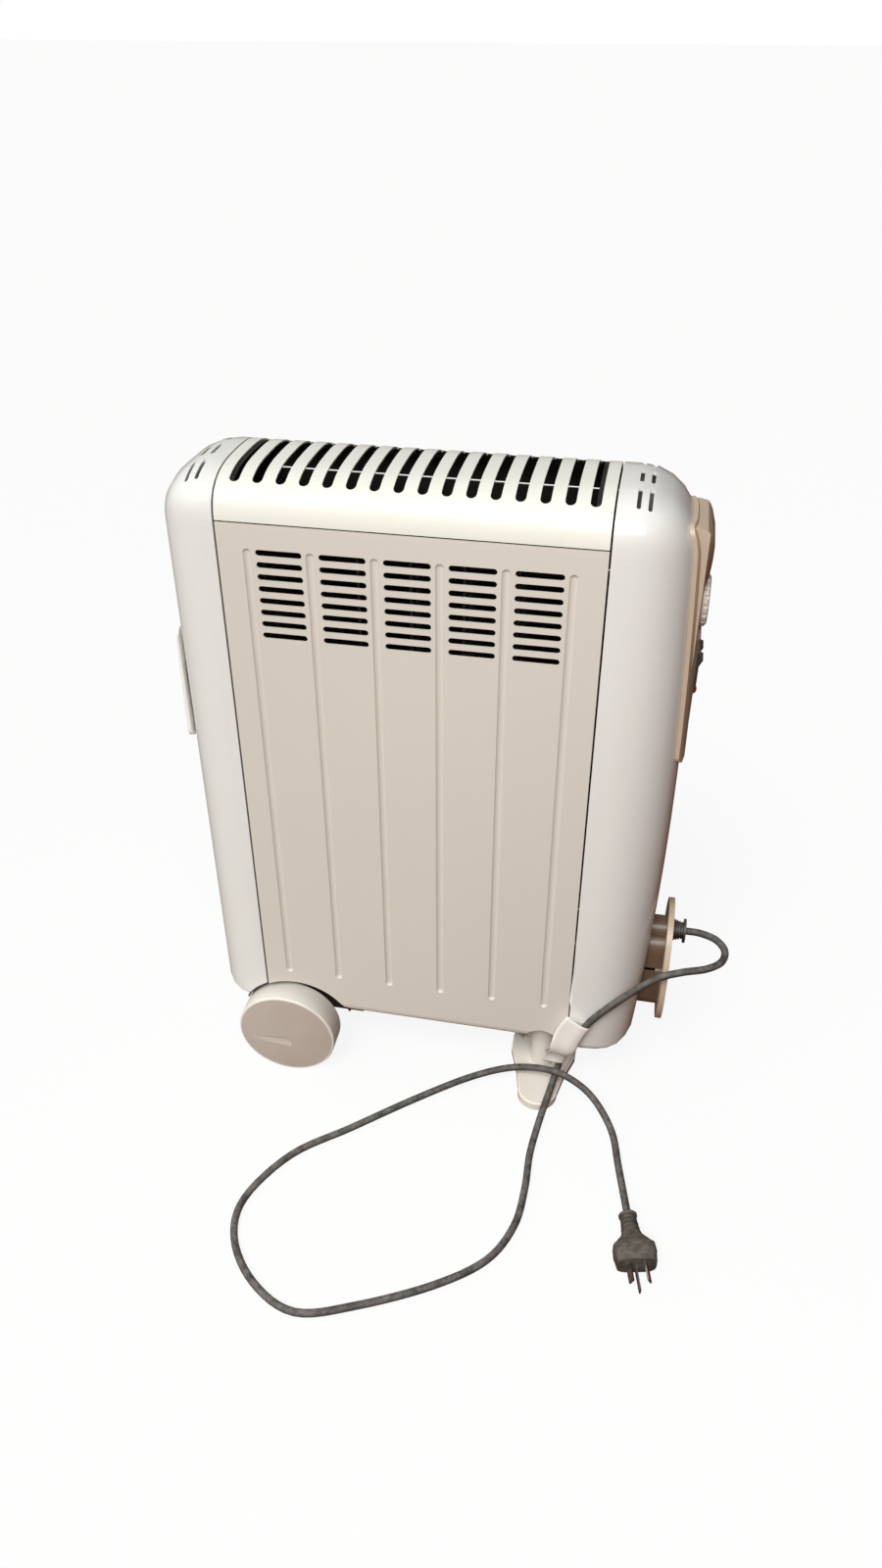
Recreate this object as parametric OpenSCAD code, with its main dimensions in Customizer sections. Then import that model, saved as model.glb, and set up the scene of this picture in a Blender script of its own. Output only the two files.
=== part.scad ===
// Portable electric heater: an enclosed oil-filled radiator on two wheels and a cross foot.
// Millimetres. X runs along the heater towards the control end, Y from front to back, Z up from the floor.
// Modules are drawn about the middle of the steel panels and moved sideways once, by seat().

/* [Casing] */
// Height of the casing from its underside to the top of the roof
casing_h = 560; // [540:1:620]
// Depth of the casing from front panel to rear panel
casing_depth = 130; // [120:1:150]
// Width of the front and rear panels
panel_w = 308; // [304:1:340]
// Length of the end cap on the wheel side
left_cap_w = 57.4; // [56:0.2:80]
// Length of the end cap on the control side
right_cap_w = 64; // [58:1:80]
// Clearance between the casing's underside and the floor
floor_gap = 80; // [76:1:90]
// Dark joint between the panels and the end caps
seam = 1.6; // [1:0.1:2.5]
// Thickness of the sheet steel
sheet = 1.2; // [0.8:0.1:1.6]
// Wall thickness of the moulded end caps
cap_wall = 2.4; // [1.8:0.1:3]
// Rounding of the end caps' outer edges
corner_r = 47; // [40:1:52]
// How far the right end cap comes down below the panels
cap_drop = 8; // [0:0.5:10]
// How far the right end cap's end face swells outwards; the left one is flat
belly = 9.5; // [6:0.5:12]

/* [Roof] */
// How far the roof grille comes down at the front and back, measured from the top of the roof
grille_drop = 36; // [30:1:40]
// Height over which the roof curves down to the front
arch_drop = 40.7; // [34:0.1:46]
// How square the roof's curve is, 2 being an ellipse
arch_power = 2.9; // [2.4:0.1:3.4]
// Slots in the top grille
grille_slots = 16; // [10:1:16]
// Distance of the outer slots' middles from the grille's ends
grille_margin = 13.7; // [12:0.1:20]
// Width of a grille slot
grille_slot_w = 8.3; // [5:0.1:9]
// Distance between the two end centres of a grille slot
grille_slot_reach = 93; // [80:1:100]
// Width of an end cap's vent slot
cap_slot_w = 3.2; // [2.5:0.1:4]
// Length of an end cap's vent slot
cap_slot_l = 25; // [18:0.5:27]
// Distance between the vent slots along the roof's curve
cap_slot_pitch = 37; // [32:0.5:38]

/* [Panel] */
// Number of vertical pressed grooves
grooves = 6; // [2:1:6]
// Distance of the outer grooves from the panel's sides
groove_margin = 24.4; // [22:0.1:34]
// Radius of the rounded tool that presses a groove
groove_r = 4.2; // [3.5:0.1:5]
// Depth of a groove
groove_depth = 2; // [1:0.1:2.5]
// Height of a groove's lower end above the underside
groove_low = 47; // [40:1:60]
// Distance of a groove's upper end below the panel's upper edge
groove_top_gap = 20; // [15:1:30]
// Rows of louvre slots between two grooves
louvre_rows = 8; // [1:1:10]
// Distance of a louvre slot's ends from the grooves beside it
louvre_gap = 6.9; // [6:0.1:12]
// Height of a louvre slot
louvre_h = 5.2; // [3:0.1:6]
// Distance between louvre rows
louvre_pitch = 10.3; // [8:0.1:12]

/* [Running gear] */
// Outside diameter of a wheel
wheel_d = 102; // [96:1:104]
// Width of a wheel
wheel_w = 28.6; // [24:0.1:32]
// Distance that a wheel stands out from the panel
wheel_out = 16.6; // [12:0.1:20]
// Distance of the axle from the panels' left edges
wheel_inset = 19.2; // [17:0.1:21]
// Diameter of the axle
axle_d = 8; // [6:0.5:10]
// Radius of the wheel arch in the casing
arch_r = 59.5; // [59:0.5:60]
// Running clearance between axle and hub, on radius
axle_fit = 0.08; // [0.03:0.01:0.1]
// Distance of the foot's middle from the panels' right edges
foot_inset = 24.7; // [23:0.1:29]
// Length of the foot from front tip to rear tip
foot_len = 172; // [160:1:180]
// Radius of the foot's tips
foot_tip_r = 20; // [16:0.5:22]
// Half width of the foot under the casing
foot_half_w = 34; // [26:1:36]
// Thickness of the foot's plate
foot_t = 12; // [9:0.5:15]
// Radius of the foot's two posts
post_r = 12.9; // [10:0.1:14]

/* [Controls] */
// Width of the control plate on the end cap
plate_w = 74; // [70:1:80]
// Height of the control plate
plate_h = 211; // [200:1:230]
// Diameter of the thermostat knob
knob_d = 42; // [36:1:44]
// Thickness of the thermostat knob
knob_t = 5.6; // [4.5:0.1:8]
// Turning range of the thermostat knob
knob_turn = 270; // [180:5:300]
// Width of a rocker
rocker_w = 14; // [12:0.5:16]
// Height of a rocker
rocker_h = 21; // [18:0.5:23]
// Tilt of a rocker to each side
rocker_tilt = 8; // [5:1:9]
// Radius of the pilot lamp's lens
lens_r = 4; // [3:0.5:5]

/* [Grip] */
// Width of the carrying grip on the wheel end
grip_w = 74; // [70:1:80]
// Height of the grip
grip_h = 110; // [100:1:130]
// Thickness of the grip at its lower edge
grip_out = 3.6; // [3:0.1:6]
// Thickness of the grip at its upper edge
grip_thin = 1.4; // [1:0.1:2]
// Reach of the grip's lip into the finger recess
lip_in = 6; // [4:0.5:9]

/* [Cord storage] */
// Height of the cord wrap's flange
flange_h = 134; // [120:1:140]
// Width of the cord wrap's flange
flange_w = 100; // [90:1:110]
// Thickness of the cord wrap's flange
flange_t = 5.5; // [4:0.5:7]
// Height of the cord wrap's hub
hub_h = 90; // [80:1:96]
// Width of the cord wrap's hub
hub_w = 44; // [38:1:50]
// Free gap between the flange and the end cap
wrap_gap = 20.5; // [18:0.5:26]

/* [Radiator] */
// Number of radiator fins
fins = 7; // [7:1:7]
// Distance of the headers' ends from the panels' side edges
header_inset = 2.7; // [2.4:0.1:6]
// Gap between the fins and the casing's underside
fin_low_gap = 36; // [34:1:45]
// Gap between the fins and the top of the roof
fin_top_gap = 34; // [30:1:50]
// Depth of a fin
fin_d = 104; // [90:1:108]
// Outer radius of the headers that join the fins
header_r = 17; // [15:0.5:18]
// Thickness of a fin's plate
fin_t = 2; // [1.5:0.1:3]

/* [Hidden] */
$fn = 64;

slip = 0.2;             // small clearance between parts that are fitted together
half_depth = casing_depth / 2;
half_panel = (panel_w - seam) / 2;
cap_start = (panel_w + seam) / 2;
left_end = cap_start + left_cap_w - seam;
right_end = cap_start + right_cap_w - seam;
underside = floor_gap;
panel_h = casing_h - grille_drop;
wheel_x = half_panel - wheel_inset;
foot_x = half_panel - foot_inset;
grille_pitch = (2 * half_panel - 2 * grille_margin) / (grille_slots - 1);
groove_pitch = (2 * half_panel - 2 * groove_margin) / max(grooves - 1, 1);
groove_high = panel_h - groove_top_gap;
louvre_w = groove_pitch - 2 * louvre_gap;
roof = floor_gap + casing_h;
underside_r = 12;       // rounding of the casing's lower front and rear edges
arch_steps = 24;
side_steps = 10;
low_share = 0.35;       // how much less the lower edge rounds than the others
belly_z = roof - 290;     // height at which the end faces swell most
belly_half_h = 262;     // half the height over which it swells
plate_t = 4;            // the control plate's standoff from the cap
console_gap = 0.2;
console_face = right_end + 12.6;
knob_seat = right_end + 9.2;
console_round = 90;     // radius of the console's face, seen from above
plate_top = roof - 24;
plate_low = plate_top - plate_h;
knob_z = plate_top - 74;
rocker_z = plate_top - 128;
lamp_z = plate_top - 156;
rocker_spread = 11;     // distance of each rocker from the middle
grip_low = roof - 260;
grip_top = grip_low + grip_h;
well_in = 20;           // depth of the finger recess behind the end face
finger_w = 62;
finger_h = 116;
wheel_r = wheel_d / 2;
wheel_z = wheel_r;
arch_x = wheel_x - 10;
arch_z = wheel_z + 3.4;
scoop_z = -9.5;         // height of the finger scoop in a wheel cover, from the wheel's middle
scoop_r = 7.5;
scoop_tool_r = 22;      // radius of the round tool that hollows it, and the tool's middle from the wheel's face
scoop_y = -19.5;
well_t = 1.6;           // wall of a wheel-arch liner
well_depth = 32;        // depth of a wheel-arch liner from the panel
guard_z = 53;           // height of the lower edge of a liner's back wall
hub_r = axle_d / 2 + 5;
wheel_inner = wheel_w - wheel_out;      // how far a wheel's drum reaches behind the panel plane
hub_end = 30;           // how far a wheel's hub reaches behind the panel plane
bracket_y = half_depth - hub_end - 2;   // outer face of the axle bracket's cheeks
axle_half = half_depth + wheel_out - 6.5;
notch_r = 17;
post_y = 24;
socket_drop = 10;       // height of the foot bracket's channel
hub_z = floor_gap + 73.5;
wrap_x = right_end + wrap_gap;
flange_x = wrap_x + flange_t;
boot_z = floor_gap + 112;
boot_l = 13;
boot_r = 11.7;
screw_heights = [casing_h - 400, casing_h - 60];
screw_y = 44;
screw_r = 2;
mid_x = 14.5;           // distance of the panels' middle from the origin
fin_low = underside + fin_low_gap;
fin_h = casing_h - fin_low_gap - fin_top_gap;
header_low = fin_low + 40;
header_high = fin_low + fin_h - 40;
bulkhead_x = half_panel - 3.2;
header_end = half_panel - header_inset;
fin_pitch = 2 * header_end / fins;
fin_span = (fins - 1) * fin_pitch / 2;
bulkhead_inset = sheet + slip;
shield_y = half_depth - bulkhead_inset - sheet - 1.2;  // outer face of the shield behind the rear panel
shield_low = roof - 330;
shield_high = roof - 58;
lead_r = 1.2;
lead_x = bulkhead_x + 28;       // where the leads rise beside the control bracket
cord_d = 7;
cord_r = cord_d / 2;
pivot_x = console_face - 3;
pivot_r = 1.4;

// The power cord's middle line, in final coordinates, from the strain relief to the plug
cord_route = [
    [241.7, 0, 192], [256, -0.7, 192], [271, -7.5, 192], [279, -22, 192.4], [275.5, -39, 193],
    [261.5, -51, 193], [240, -57, 190.5], [219, -59, 181], [199, -62.5, 164], [180, -67, 146],
    [161, -71, 124], [150.5, -71.5, 101], [144.5, -69, 78], [138.5, -54.5, 58], [134.3, -50, 42],
    [131.3, -54.5, 28], [128, -67.5, 18.5], [124.5, -86, 14.5], [119.5, -113, 5.8], [116.5, -145, 3.9],
    [117, -184, 3.6], [112.5, -225, 3.6], [93, -264, 3.6], [51, -297, 3.6], [-10, -328, 3.6],
    [-62, -344.5, 3.6], [-106, -325, 3.6], [-137, -287, 3.6], [-142, -244, 3.6], [-113, -188.5, 3.6],
    [-64, -146.5, 3.9], [-11, -101.5, 5], [41, -68.5, 13], [83, -55.5, 23.5], [119, -58.5, 33],
    [145, -64.5, 32], [171, -76.5, 22], [193, -105, 11], [203, -148, 11.6], [214.5, -198.5, 12.5]];
cord_sides = 10;
cord_step = 2;          // rings from one route point to the next
cord_line = smooth(cord_route, cord_step);
tag_w = 22;             // width of the folded tag beyond the cord
tag_t = 0.6;

function sgn(v) = v < 0 ? -1 : 1;
function arch_point(a, b, t) = [a * sgn(cos(t)) * pow(abs(cos(t)), 2 / arch_power),
    -b + b * pow(abs(sin(t)), 2 / arch_power)];
function arch_line(a, b, z) = [for (k = [0:arch_steps]) let (p = arch_point(a, b, 180 * k / arch_steps)) [p[0],
    p[1] + z]];
function corner(y, z, r, from, to, steps = 4) = [for (k = [0:steps]) let (t = from + (to - from) * k / steps) [
    y + r * cos(t), z + r * sin(t)]];
// Cross-section of the casing, seen along X, set in by side and top inset and by low at the bottom
function casing_outline(inset, low) = let (a = half_depth - inset, b = arch_drop * a / half_depth,
    r = max(underside_r - inset, 2)) concat(corner(a - r, underside + low + r, r, -90, 0),
    arch_line(a, b, roof - inset), corner(-a + r, underside + low + r, r, 180, 270));
function unit(v) = v / norm(v);
// Points of a smooth curve through a route, with steps points from each route point to the next
function ahead(p, i) = i < 0 ? 2 * p[0] - p[1] : i < len(p) ? p[i] : 2 * p[len(p) - 1] - p[len(p) - 2];
function smooth(p, steps) = concat([for (i = [0:len(p) - 2], k = [0:steps - 1]) let (t = k / steps,
    a = ahead(p, i - 1), b = p[i], c = p[i + 1], d = ahead(p, i + 2)) 0.5 * (2 * b + (c - a) * t + (2 * a - 5 * b
    + 4 * c - d) * t * t + (3 * b - a - 3 * c + d) * t * t * t)], [p[len(p) - 1]]);

// Moves a module from the middle of the panels to the origin, which is the middle of the whole heater
module seat() translate([-mid_x, 0, 0]) children();
// Extrudes an outline drawn in Y and Z along X
module along_x(x, length) translate([x, 0, 0]) rotate([90, 0, 90]) linear_extrude(length) children();
// Extrudes an outline drawn in X and Z along Y
module along_y(y, length) translate([0, y + length, 0]) rotate([90, 0, 0]) linear_extrude(length) children();
module rod_x(x, y, z, r, length) translate([x, y, z]) rotate([0, 90, 0]) cylinder(h = length, r = r);
module rod_y(x, y, z, r, length) translate([x, y, z]) rotate([-90, 0, 0]) cylinder(h = length, r = r);
module block(x, y, z) translate([x[0], y[0], z[0]]) cube([x[1] - x[0], y[1] - y[0], z[1] - z[0]]);
module both_sides() { children(); mirror([0, 1, 0]) children(); }
module stadium(l, w) {
    square([l - w, w], center = true);
    for (s = [-1, 1]) translate([s * (l - w) / 2, 0]) circle(d = w);
}
module round_rect(w, h, r) {
    square([w - 2 * r, h], center = true);
    square([w, h - 2 * r], center = true);
    for (s = [-1, 1], t = [-1, 1]) translate([s * (w / 2 - r), t * (h / 2 - r)]) circle(r = r);
}

// Outline of an end cap's cross-section, with points up both sides so that its end face can swell
function cap_outline(inset, low) = let (r = max(underside_r - inset, 2), a = half_depth - inset,
    z0 = underside + low + r, z1 = roof - inset - arch_drop * a / half_depth) concat(corner(a - r, z0, r, -90, 0),
    [for (i = [1:side_steps - 1]) [a, z0 + (z1 - z0) * i / side_steps]], arch_line(a, arch_drop * a / half_depth,
    roof - inset), [for (i = [side_steps - 1:-1:1]) [-a, z0 + (z1 - z0) * i / side_steps]],
    corner(-a + r, z0, r, 180, 270));
function swell(z) = max(0, 1 - pow((z - belly_z) / belly_half_h, 2));
// Rings of points that wrap an end cap: from its seam, round the outer edge and up to its end face
function cap_rings(end_x, bulge, wall) = let (r = corner_r - wall, drop = bulge > 0 ? cap_drop : 0) [for (t =
    [-15:15:90]) let (inset = t < 0 ? 0 : r * (1 - cos(t)), x = t < 0 ? cap_start : end_x - corner_r + r
    * sin(t)) [for (q = cap_outline(wall + inset, wall + low_share * inset - drop)) [x + bulge * swell(q[1])
    * (x - cap_start) / (end_x - cap_start), q[0], q[1]]]];
// Faces between neighbouring rings of n points, the first ring's points starting at index from
function ring_walls(n, rings, from, out) = [for (i = [0:rings - 2], k = [0:n - 1]) let (a = from + i * n + k,
    b = from + i * n + (k + 1) % n) each (out ? [[a, a + n, b], [b, a + n, b + n]]
    : [[a, b, a + n], [b, b + n, a + n]])];
// End face over a ring, in strips from its first half to its second
function end_face(n, from, out) = [for (k = [0:floor((n - 1) / 2) - 1]) let (a = from + k, b = from + n - 1 - k)
    each (2 * k == n - 3 ? [out ? [a, b, a + 1] : [a, a + 1, b]] : out ? [[a, b, a + 1], [a + 1, b, b - 1]]
    : [[a, a + 1, b], [a + 1, b - 1, b]])];
// Solid outer form of an end cap, which other parts are cut to fit
module cap_form(end_x, bulge) {
    rings = cap_rings(end_x, bulge, 0);
    n = len(rings[0]);
    polyhedron([for (ring = rings) each ring], concat([[for (k = [0:n - 1]) k]], ring_walls(n, len(rings), 0,
        true), end_face(n, n * (len(rings) - 1), true)));
}
// The hollow end cap, open at its seam, with a boss behind each of its screws
module cap_shell(end_x, bulge) {
    outer = cap_rings(end_x, bulge, 0);
    inner = cap_rings(end_x, bulge, cap_wall);
    n = len(outer[0]);
    m = len(outer);
    difference() {
        union() {
            polyhedron([for (ring = concat(outer, inner)) each ring], concat(ring_walls(n, m, 0, true),
                end_face(n, n * (m - 1), true), ring_walls(n, m, n * m, false), end_face(n, n * (2 * m - 1),
                false), [for (k = [0:n - 1]) let (j = (k + 1) % n) each [[k, j, n * m + k], [j, n * m + j,
                n * m + k]]]));
            intersection() {
                for (s = [-1, 1], z = screw_heights) rod_x(bulkhead_x + sheet + slip, s * screw_y, underside + z,
                    5, 80);
                cap_form(end_x, bulge);
            }
        }
        for (s = [-1, 1], z = screw_heights) rod_x(bulkhead_x, s * screw_y, underside + z, screw_r + 0.1, 20);
    }
}
module cap_vents(side) {
    for (column = [0, 1], row = [-1:1]) translate([side * (cap_start + 15.7 + 8.6 * column),
        row * cap_slot_pitch, roof - arch_drop]) linear_extrude(arch_drop * 2) rotate(90)
        stadium(cap_slot_l, cap_slot_w);
}
module wheel_well_cut(r) both_sides() rod_y(-arch_x, -half_depth - 2, arch_z, r, well_depth + 2);

// Recess in the left cap behind the grip, which the fingers go into from below
module finger_well(grow) along_x(left_end - well_in - grow, well_in + 40) translate([0, grip_low + 22])
    round_rect(finger_w + 2 * grow, finger_h + 2 * grow, 12 + grow);
module left_end_cap() color([0.93, 0.94, 0.93]) seat() difference() {
    mirror([1, 0, 0]) difference() {
        union() {
            cap_shell(left_end, 0);
            intersection() {
                finger_well(cap_wall);
                cap_form(left_end, 0);
            }
        }
        finger_well(0);
    }
    cap_vents(-1);
    wheel_well_cut(arch_r + well_t + slip);
}
module control_holes(grow) {
    rod_x(right_end - 25, 0, knob_z, 5 + grow, 60);
    for (s = [-1, 1]) block([right_end - 25, right_end + 30], [s * rocker_spread - rocker_w / 2 - 1.6 - grow,
        s * rocker_spread + rocker_w / 2 + 1.6 + grow], [rocker_z - rocker_h / 2 - 3 - grow,
        rocker_z + rocker_h / 2 + 3 + grow]);
    rod_x(right_end - 25, 0, lamp_z, lens_r + 0.5 + grow, 60);
}
module right_end_cap() color([0.93, 0.94, 0.93]) seat() difference() {
    cap_shell(right_end, belly);
    cap_vents(1);
    control_holes(slip);
    rod_x(right_end - 25, 0, boot_z, cord_r + 3, 60);
}

// One steel panel: flat front, rolled lower edge, pressed grooves and louvre slots
module steel_panel() {
    difference() {
        union() {
            along_x(-half_panel, 2 * half_panel) intersection() {
                difference() {
                    polygon(casing_outline(0, 0));
                    polygon(casing_outline(sheet, sheet));
                }
                translate([-half_depth - 1, underside - 1]) square([underside_r + 9, panel_h + 0.5]);
            }
            for (i = [0:grooves - 1]) intersection() {
                groove(i, groove_r + sheet);
                block([-half_panel, half_panel], [-half_depth + sheet / 2, 0], [underside, roof]);
            }
        }
        for (i = [0:grooves - 1]) groove(i, groove_r);
        for (i = [0:grooves - 2], k = [0:louvre_rows - 1]) translate([groove_x(i) + groove_pitch / 2,
            -half_depth - 1, underside + groove_high - louvre_h / 2 - 1 - k * louvre_pitch])
            rotate([-90, 0, 0]) linear_extrude(sheet + 2) stadium(louvre_w, louvre_h);
        rod_y(-arch_x, -half_depth - 1, arch_z, arch_r, 40);
        rod_y(-arch_x, -half_depth + sheet, arch_z, arch_r + well_t + slip, 40);
        foot_notch();
    }
}
function groove_x(i) = (i - (grooves - 1) / 2) * groove_pitch;
module groove(i, r) translate([groove_x(i), -half_depth - groove_r + groove_depth, 0]) {
    translate([0, 0, underside + groove_low + groove_r]) cylinder(r = r, h = groove_high - groove_low
        - 2 * groove_r);
    translate([0, 0, underside + groove_low + groove_r]) sphere(r = r);
    translate([0, 0, underside + groove_high - groove_r]) sphere(r = r);
}
module foot_notch() rod_y(foot_x, -half_depth - 1, underside - 2, notch_r, 32);
module front_panel() color([0.87, 0.85, 0.81]) seat() steel_panel();
module rear_panel() color([0.87, 0.85, 0.81]) seat() mirror([0, 1, 0]) steel_panel();

module top_grille() color([0.93, 0.92, 0.88]) seat() difference() {
    along_x(-half_panel, 2 * half_panel) intersection() {
        difference() {
            polygon(casing_outline(0, 0));
            polygon(casing_outline(sheet, sheet));
        }
        translate([-half_depth - 1, underside + panel_h + 0.8]) square([casing_depth + 2, casing_h]);
    }
    for (i = [0:grille_slots - 1]) translate([(i - (grille_slots - 1) / 2) * grille_pitch, 0, roof - arch_drop])
        linear_extrude(arch_drop * 2) rotate(90) stadium(grille_slot_reach + grille_slot_w, grille_slot_w);
}

// Sheet-steel frame inside each end of the casing, which the panels, roof and cap are fixed to
module bulkhead_frame() {
    along_x(bulkhead_x - 10, 10) difference() {
        polygon(casing_outline(bulkhead_inset, bulkhead_inset));
        polygon(casing_outline(bulkhead_inset + sheet, bulkhead_inset + sheet));
    }
    along_x(bulkhead_x, sheet) difference() {
        polygon(casing_outline(bulkhead_inset, bulkhead_inset));
        translate([0, underside + casing_h * 0.62]) round_rect(70, 180, 12);
    }
}
module left_bulkhead() color([0.62, 0.63, 0.64]) seat() difference() {
    mirror([1, 0, 0]) bulkhead_frame();
    wheel_well_cut(arch_r + well_t + slip);
    for (s = [-1, 1], z = screw_heights) rod_x(-bulkhead_x - 5, s * screw_y, underside + z, screw_r + slip, 10);
    for (z = [header_low, header_high]) rod_x(-bulkhead_x - 5, 0, z, header_r + 6, 10);
}
module right_bulkhead() color([0.62, 0.63, 0.64]) seat() difference() {
    bulkhead_frame();
    for (s = [-1, 1], z = screw_heights) rod_x(bulkhead_x - 5, s * screw_y, underside + z, screw_r + slip, 10);
    for (z = [header_low, header_high]) rod_x(bulkhead_x - 5, 0, z, header_r + 6, 10);
    both_sides() rod_y(foot_x, -half_depth - 1, underside - 2, notch_r, 32);
}
module cap_screws() color([0.7, 0.7, 0.7]) seat() for (side = [0, 1], s = [-1, 1], z = screw_heights)
    mirror([side, 0, 0]) {
        rod_x(bulkhead_x - 2.6, s * screw_y, underside + z, 4, 2.4);
        rod_x(bulkhead_x - 0.5, s * screw_y, underside + z, screw_r, 16);
    }

module base_tray() color([0.62, 0.63, 0.64]) seat() difference() {
    along_x(-bulkhead_x + 10 + slip, 2 * bulkhead_x - 20 - 2 * slip) intersection() {
        difference() {
            polygon(casing_outline(bulkhead_inset, bulkhead_inset));
            polygon(casing_outline(bulkhead_inset + sheet, bulkhead_inset + sheet));
        }
        translate([-half_depth, underside - 1]) square([casing_depth, underside_r + 8]);
    }
    wheel_well_cut(arch_r + well_t + slip);
    both_sides() foot_notch();
    for (i = [0:5]) translate([-40 + 22 * i, 0, underside - 2]) linear_extrude(8) rotate(90) stadium(70, 8);
    for (s = [-1, 1]) translate([foot_x, s * 8, underside - 2]) cylinder(r = 2.2, h = 10);
}
// Shield that keeps the radiator's heat off the rear panel, spot-welded to the bulkheads' rims
module heat_shield() color([0.62, 0.63, 0.64]) seat() {
    block([-bulkhead_x, bulkhead_x], [shield_y - 0.8, shield_y], [shield_low, shield_high]);
    for (m = [0, 1]) mirror([m, 0, 0]) block([bulkhead_x - 8.4, bulkhead_x], [shield_y - 0.8, shield_y + 1.2],
        [shield_low, shield_high]);
}
module wheel_arch() difference() {
    rod_y(-arch_x, -half_depth + bulkhead_inset + sheet, arch_z, arch_r + well_t, well_depth - bulkhead_inset
        - sheet);
    rod_y(-arch_x, -half_depth, arch_z, arch_r, well_depth - well_t);
    block([-arch_x - 100, -arch_x + 100], [-half_depth - 1, -half_depth + well_depth - well_t], [-100,
        underside + 0.2]);
    block([-arch_x - 100, -arch_x + 100], [-half_depth - 1, 0], [-100, guard_z]);
    rod_y(-wheel_x, -half_depth, wheel_z, hub_r + 3, well_depth + 1);
}
module front_wheel_arch() color([0.3, 0.28, 0.27]) seat() wheel_arch();
module rear_wheel_arch() color([0.3, 0.28, 0.27]) seat() mirror([0, 1, 0]) wheel_arch();

// Carrying grip on the wheel end: a plate over the upper part of the finger recess, with a lip at its lower edge
module left_grip() color([0.9, 0.9, 0.88]) seat() mirror([1, 0, 0]) {
    intersection() {
        along_y(-grip_w / 2, grip_w) polygon(concat([[left_end + slip, grip_top], [left_end + slip, grip_low],
            [left_end + grip_out - 1, grip_low]], [for (k = [0:10]) [left_end + grip_thin + (grip_out
            - grip_thin) * (1 - pow(k / 10, 2)), grip_low + 2 + (grip_h - 2) * k / 10]]));
        along_x(left_end - 1, grip_out + 2) translate([0, grip_low + grip_h / 2]) round_rect(grip_w, grip_h, 8);
    }
    block([left_end - lip_in, left_end + 1], [-finger_w / 2 + 2, finger_w / 2 - 2], [grip_low, grip_low + 3]);
}

module control_plate() color([0.75, 0.71, 0.66]) seat() difference() {
    intersection() {
        along_x(right_end - 25, 60) translate([0, (plate_low + plate_top) / 2]) round_rect(plate_w, plate_h, 9);
        translate([plate_t, 0, 0]) cap_form(right_end, belly);
    }
    translate([slip, 0, 0]) cap_form(right_end, belly);
    control_holes(slip);
}
module console_side() polygon([[right_end - 16, plate_low + 5], [console_face - 4, plate_low + 5],
    [console_face - 1.2, plate_low + 9], [console_face, plate_low + 17], [console_face, knob_z - knob_d / 2 - 3],
    [knob_seat, knob_z - knob_d / 2 - 1], [knob_seat, knob_z + knob_d / 2 + 2], [console_face - 0.6,
    plate_top - 45], [console_face + 1, plate_top - 36], [console_face + 1.2, plate_top - 26], [console_face,
    plate_top - 16], [console_face - 2.6, plate_top - 9], [console_face - 6.5, plate_top - 3.6], [right_end - 1,
    plate_top - 2], [right_end - 16, plate_top - 2]]);
module control_console() color([0.8, 0.77, 0.72]) seat() difference() {
    intersection() {
        along_y(-plate_w / 2 + 5, plate_w - 10) console_side();
        translate([console_face + 1.4 - console_round, 0, plate_low]) cylinder(r = console_round, h = plate_h,
            $fn = 120);
    }
    translate([plate_t + console_gap, 0, 0]) cap_form(right_end, belly);
    control_holes(slip);
}
module thermostat_knob() color([0.85, 0.83, 0.79]) seat() difference() {
    union() {
        rod_x(knob_seat + 0.3, 0, knob_z, knob_d / 2, knob_t - 1.6);
        translate([knob_seat + knob_t - 1.3, 0, knob_z]) rotate([0, 90, 0])
            cylinder(h = 1.6, r1 = knob_d / 2, r2 = knob_d / 2 - 2);
    }
    rod_x(knob_seat, 0, knob_z, 3, knob_t - 1.5);
    for (a = [0:20:340]) translate([knob_seat + 1.5, 0, knob_z]) rotate([a, 0, 0])
        rod_x(0, 0, knob_d / 2 + 1.2, 2.2, knob_t);
}
module thermostat_shaft() color([0.7, 0.7, 0.7]) seat() rod_x(right_end - 8, 0, knob_z, 3,
    knob_seat + knob_t - 1.5 - right_end + 8);
module thermostat_body() color([0.82, 0.8, 0.74]) seat() difference() {
    union() {
        block([right_end - 26, right_end - 9], [-16, 16], [knob_z - 16, knob_z + 16]);
        rod_x(right_end - 9, 0, knob_z, 5, knob_seat - right_end + 8.4);
        for (s = [-1, 1]) block([right_end - 32, right_end - 26], [s * 9 - 3, s * 9 + 3], [knob_z - 10,
            knob_z - 9]);
    }
    rod_x(right_end - 9, 0, knob_z, 3 + axle_fit, 40);
}
module switch_case(s) difference() {
    union() {
        block([right_end - 14, console_face + 0.3], [s * rocker_spread - rocker_w / 2 - 1.6, s * rocker_spread
            + rocker_w / 2 + 1.6], [rocker_z - rocker_h / 2 - 3, rocker_z + rocker_h / 2 + 3]);
        block([console_face + 0.1, console_face + 1.3], [s * rocker_spread - rocker_w / 2 - 3,
            s * rocker_spread + rocker_w / 2 + 3], [rocker_z - rocker_h / 2 - 5, rocker_z + rocker_h / 2 + 5]);
        for (dz = [-6, 6]) block([right_end - 22, right_end - 14], [s * rocker_spread - 0.4,
            s * rocker_spread + 0.4], [rocker_z + dz - 2.4, rocker_z + dz + 2.4]);
    }
    block([pivot_x - 8, console_face + 5], [s * rocker_spread - rocker_w / 2 - 0.4, s * rocker_spread
        + rocker_w / 2 + 0.4], [rocker_z - rocker_h / 2 - 1, rocker_z + rocker_h / 2 + 1]);
    rod_y(pivot_x, s * rocker_spread - rocker_w / 2 - 1.2, rocker_z, pivot_r + 0.06, rocker_w + 2.4);
}
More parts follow.
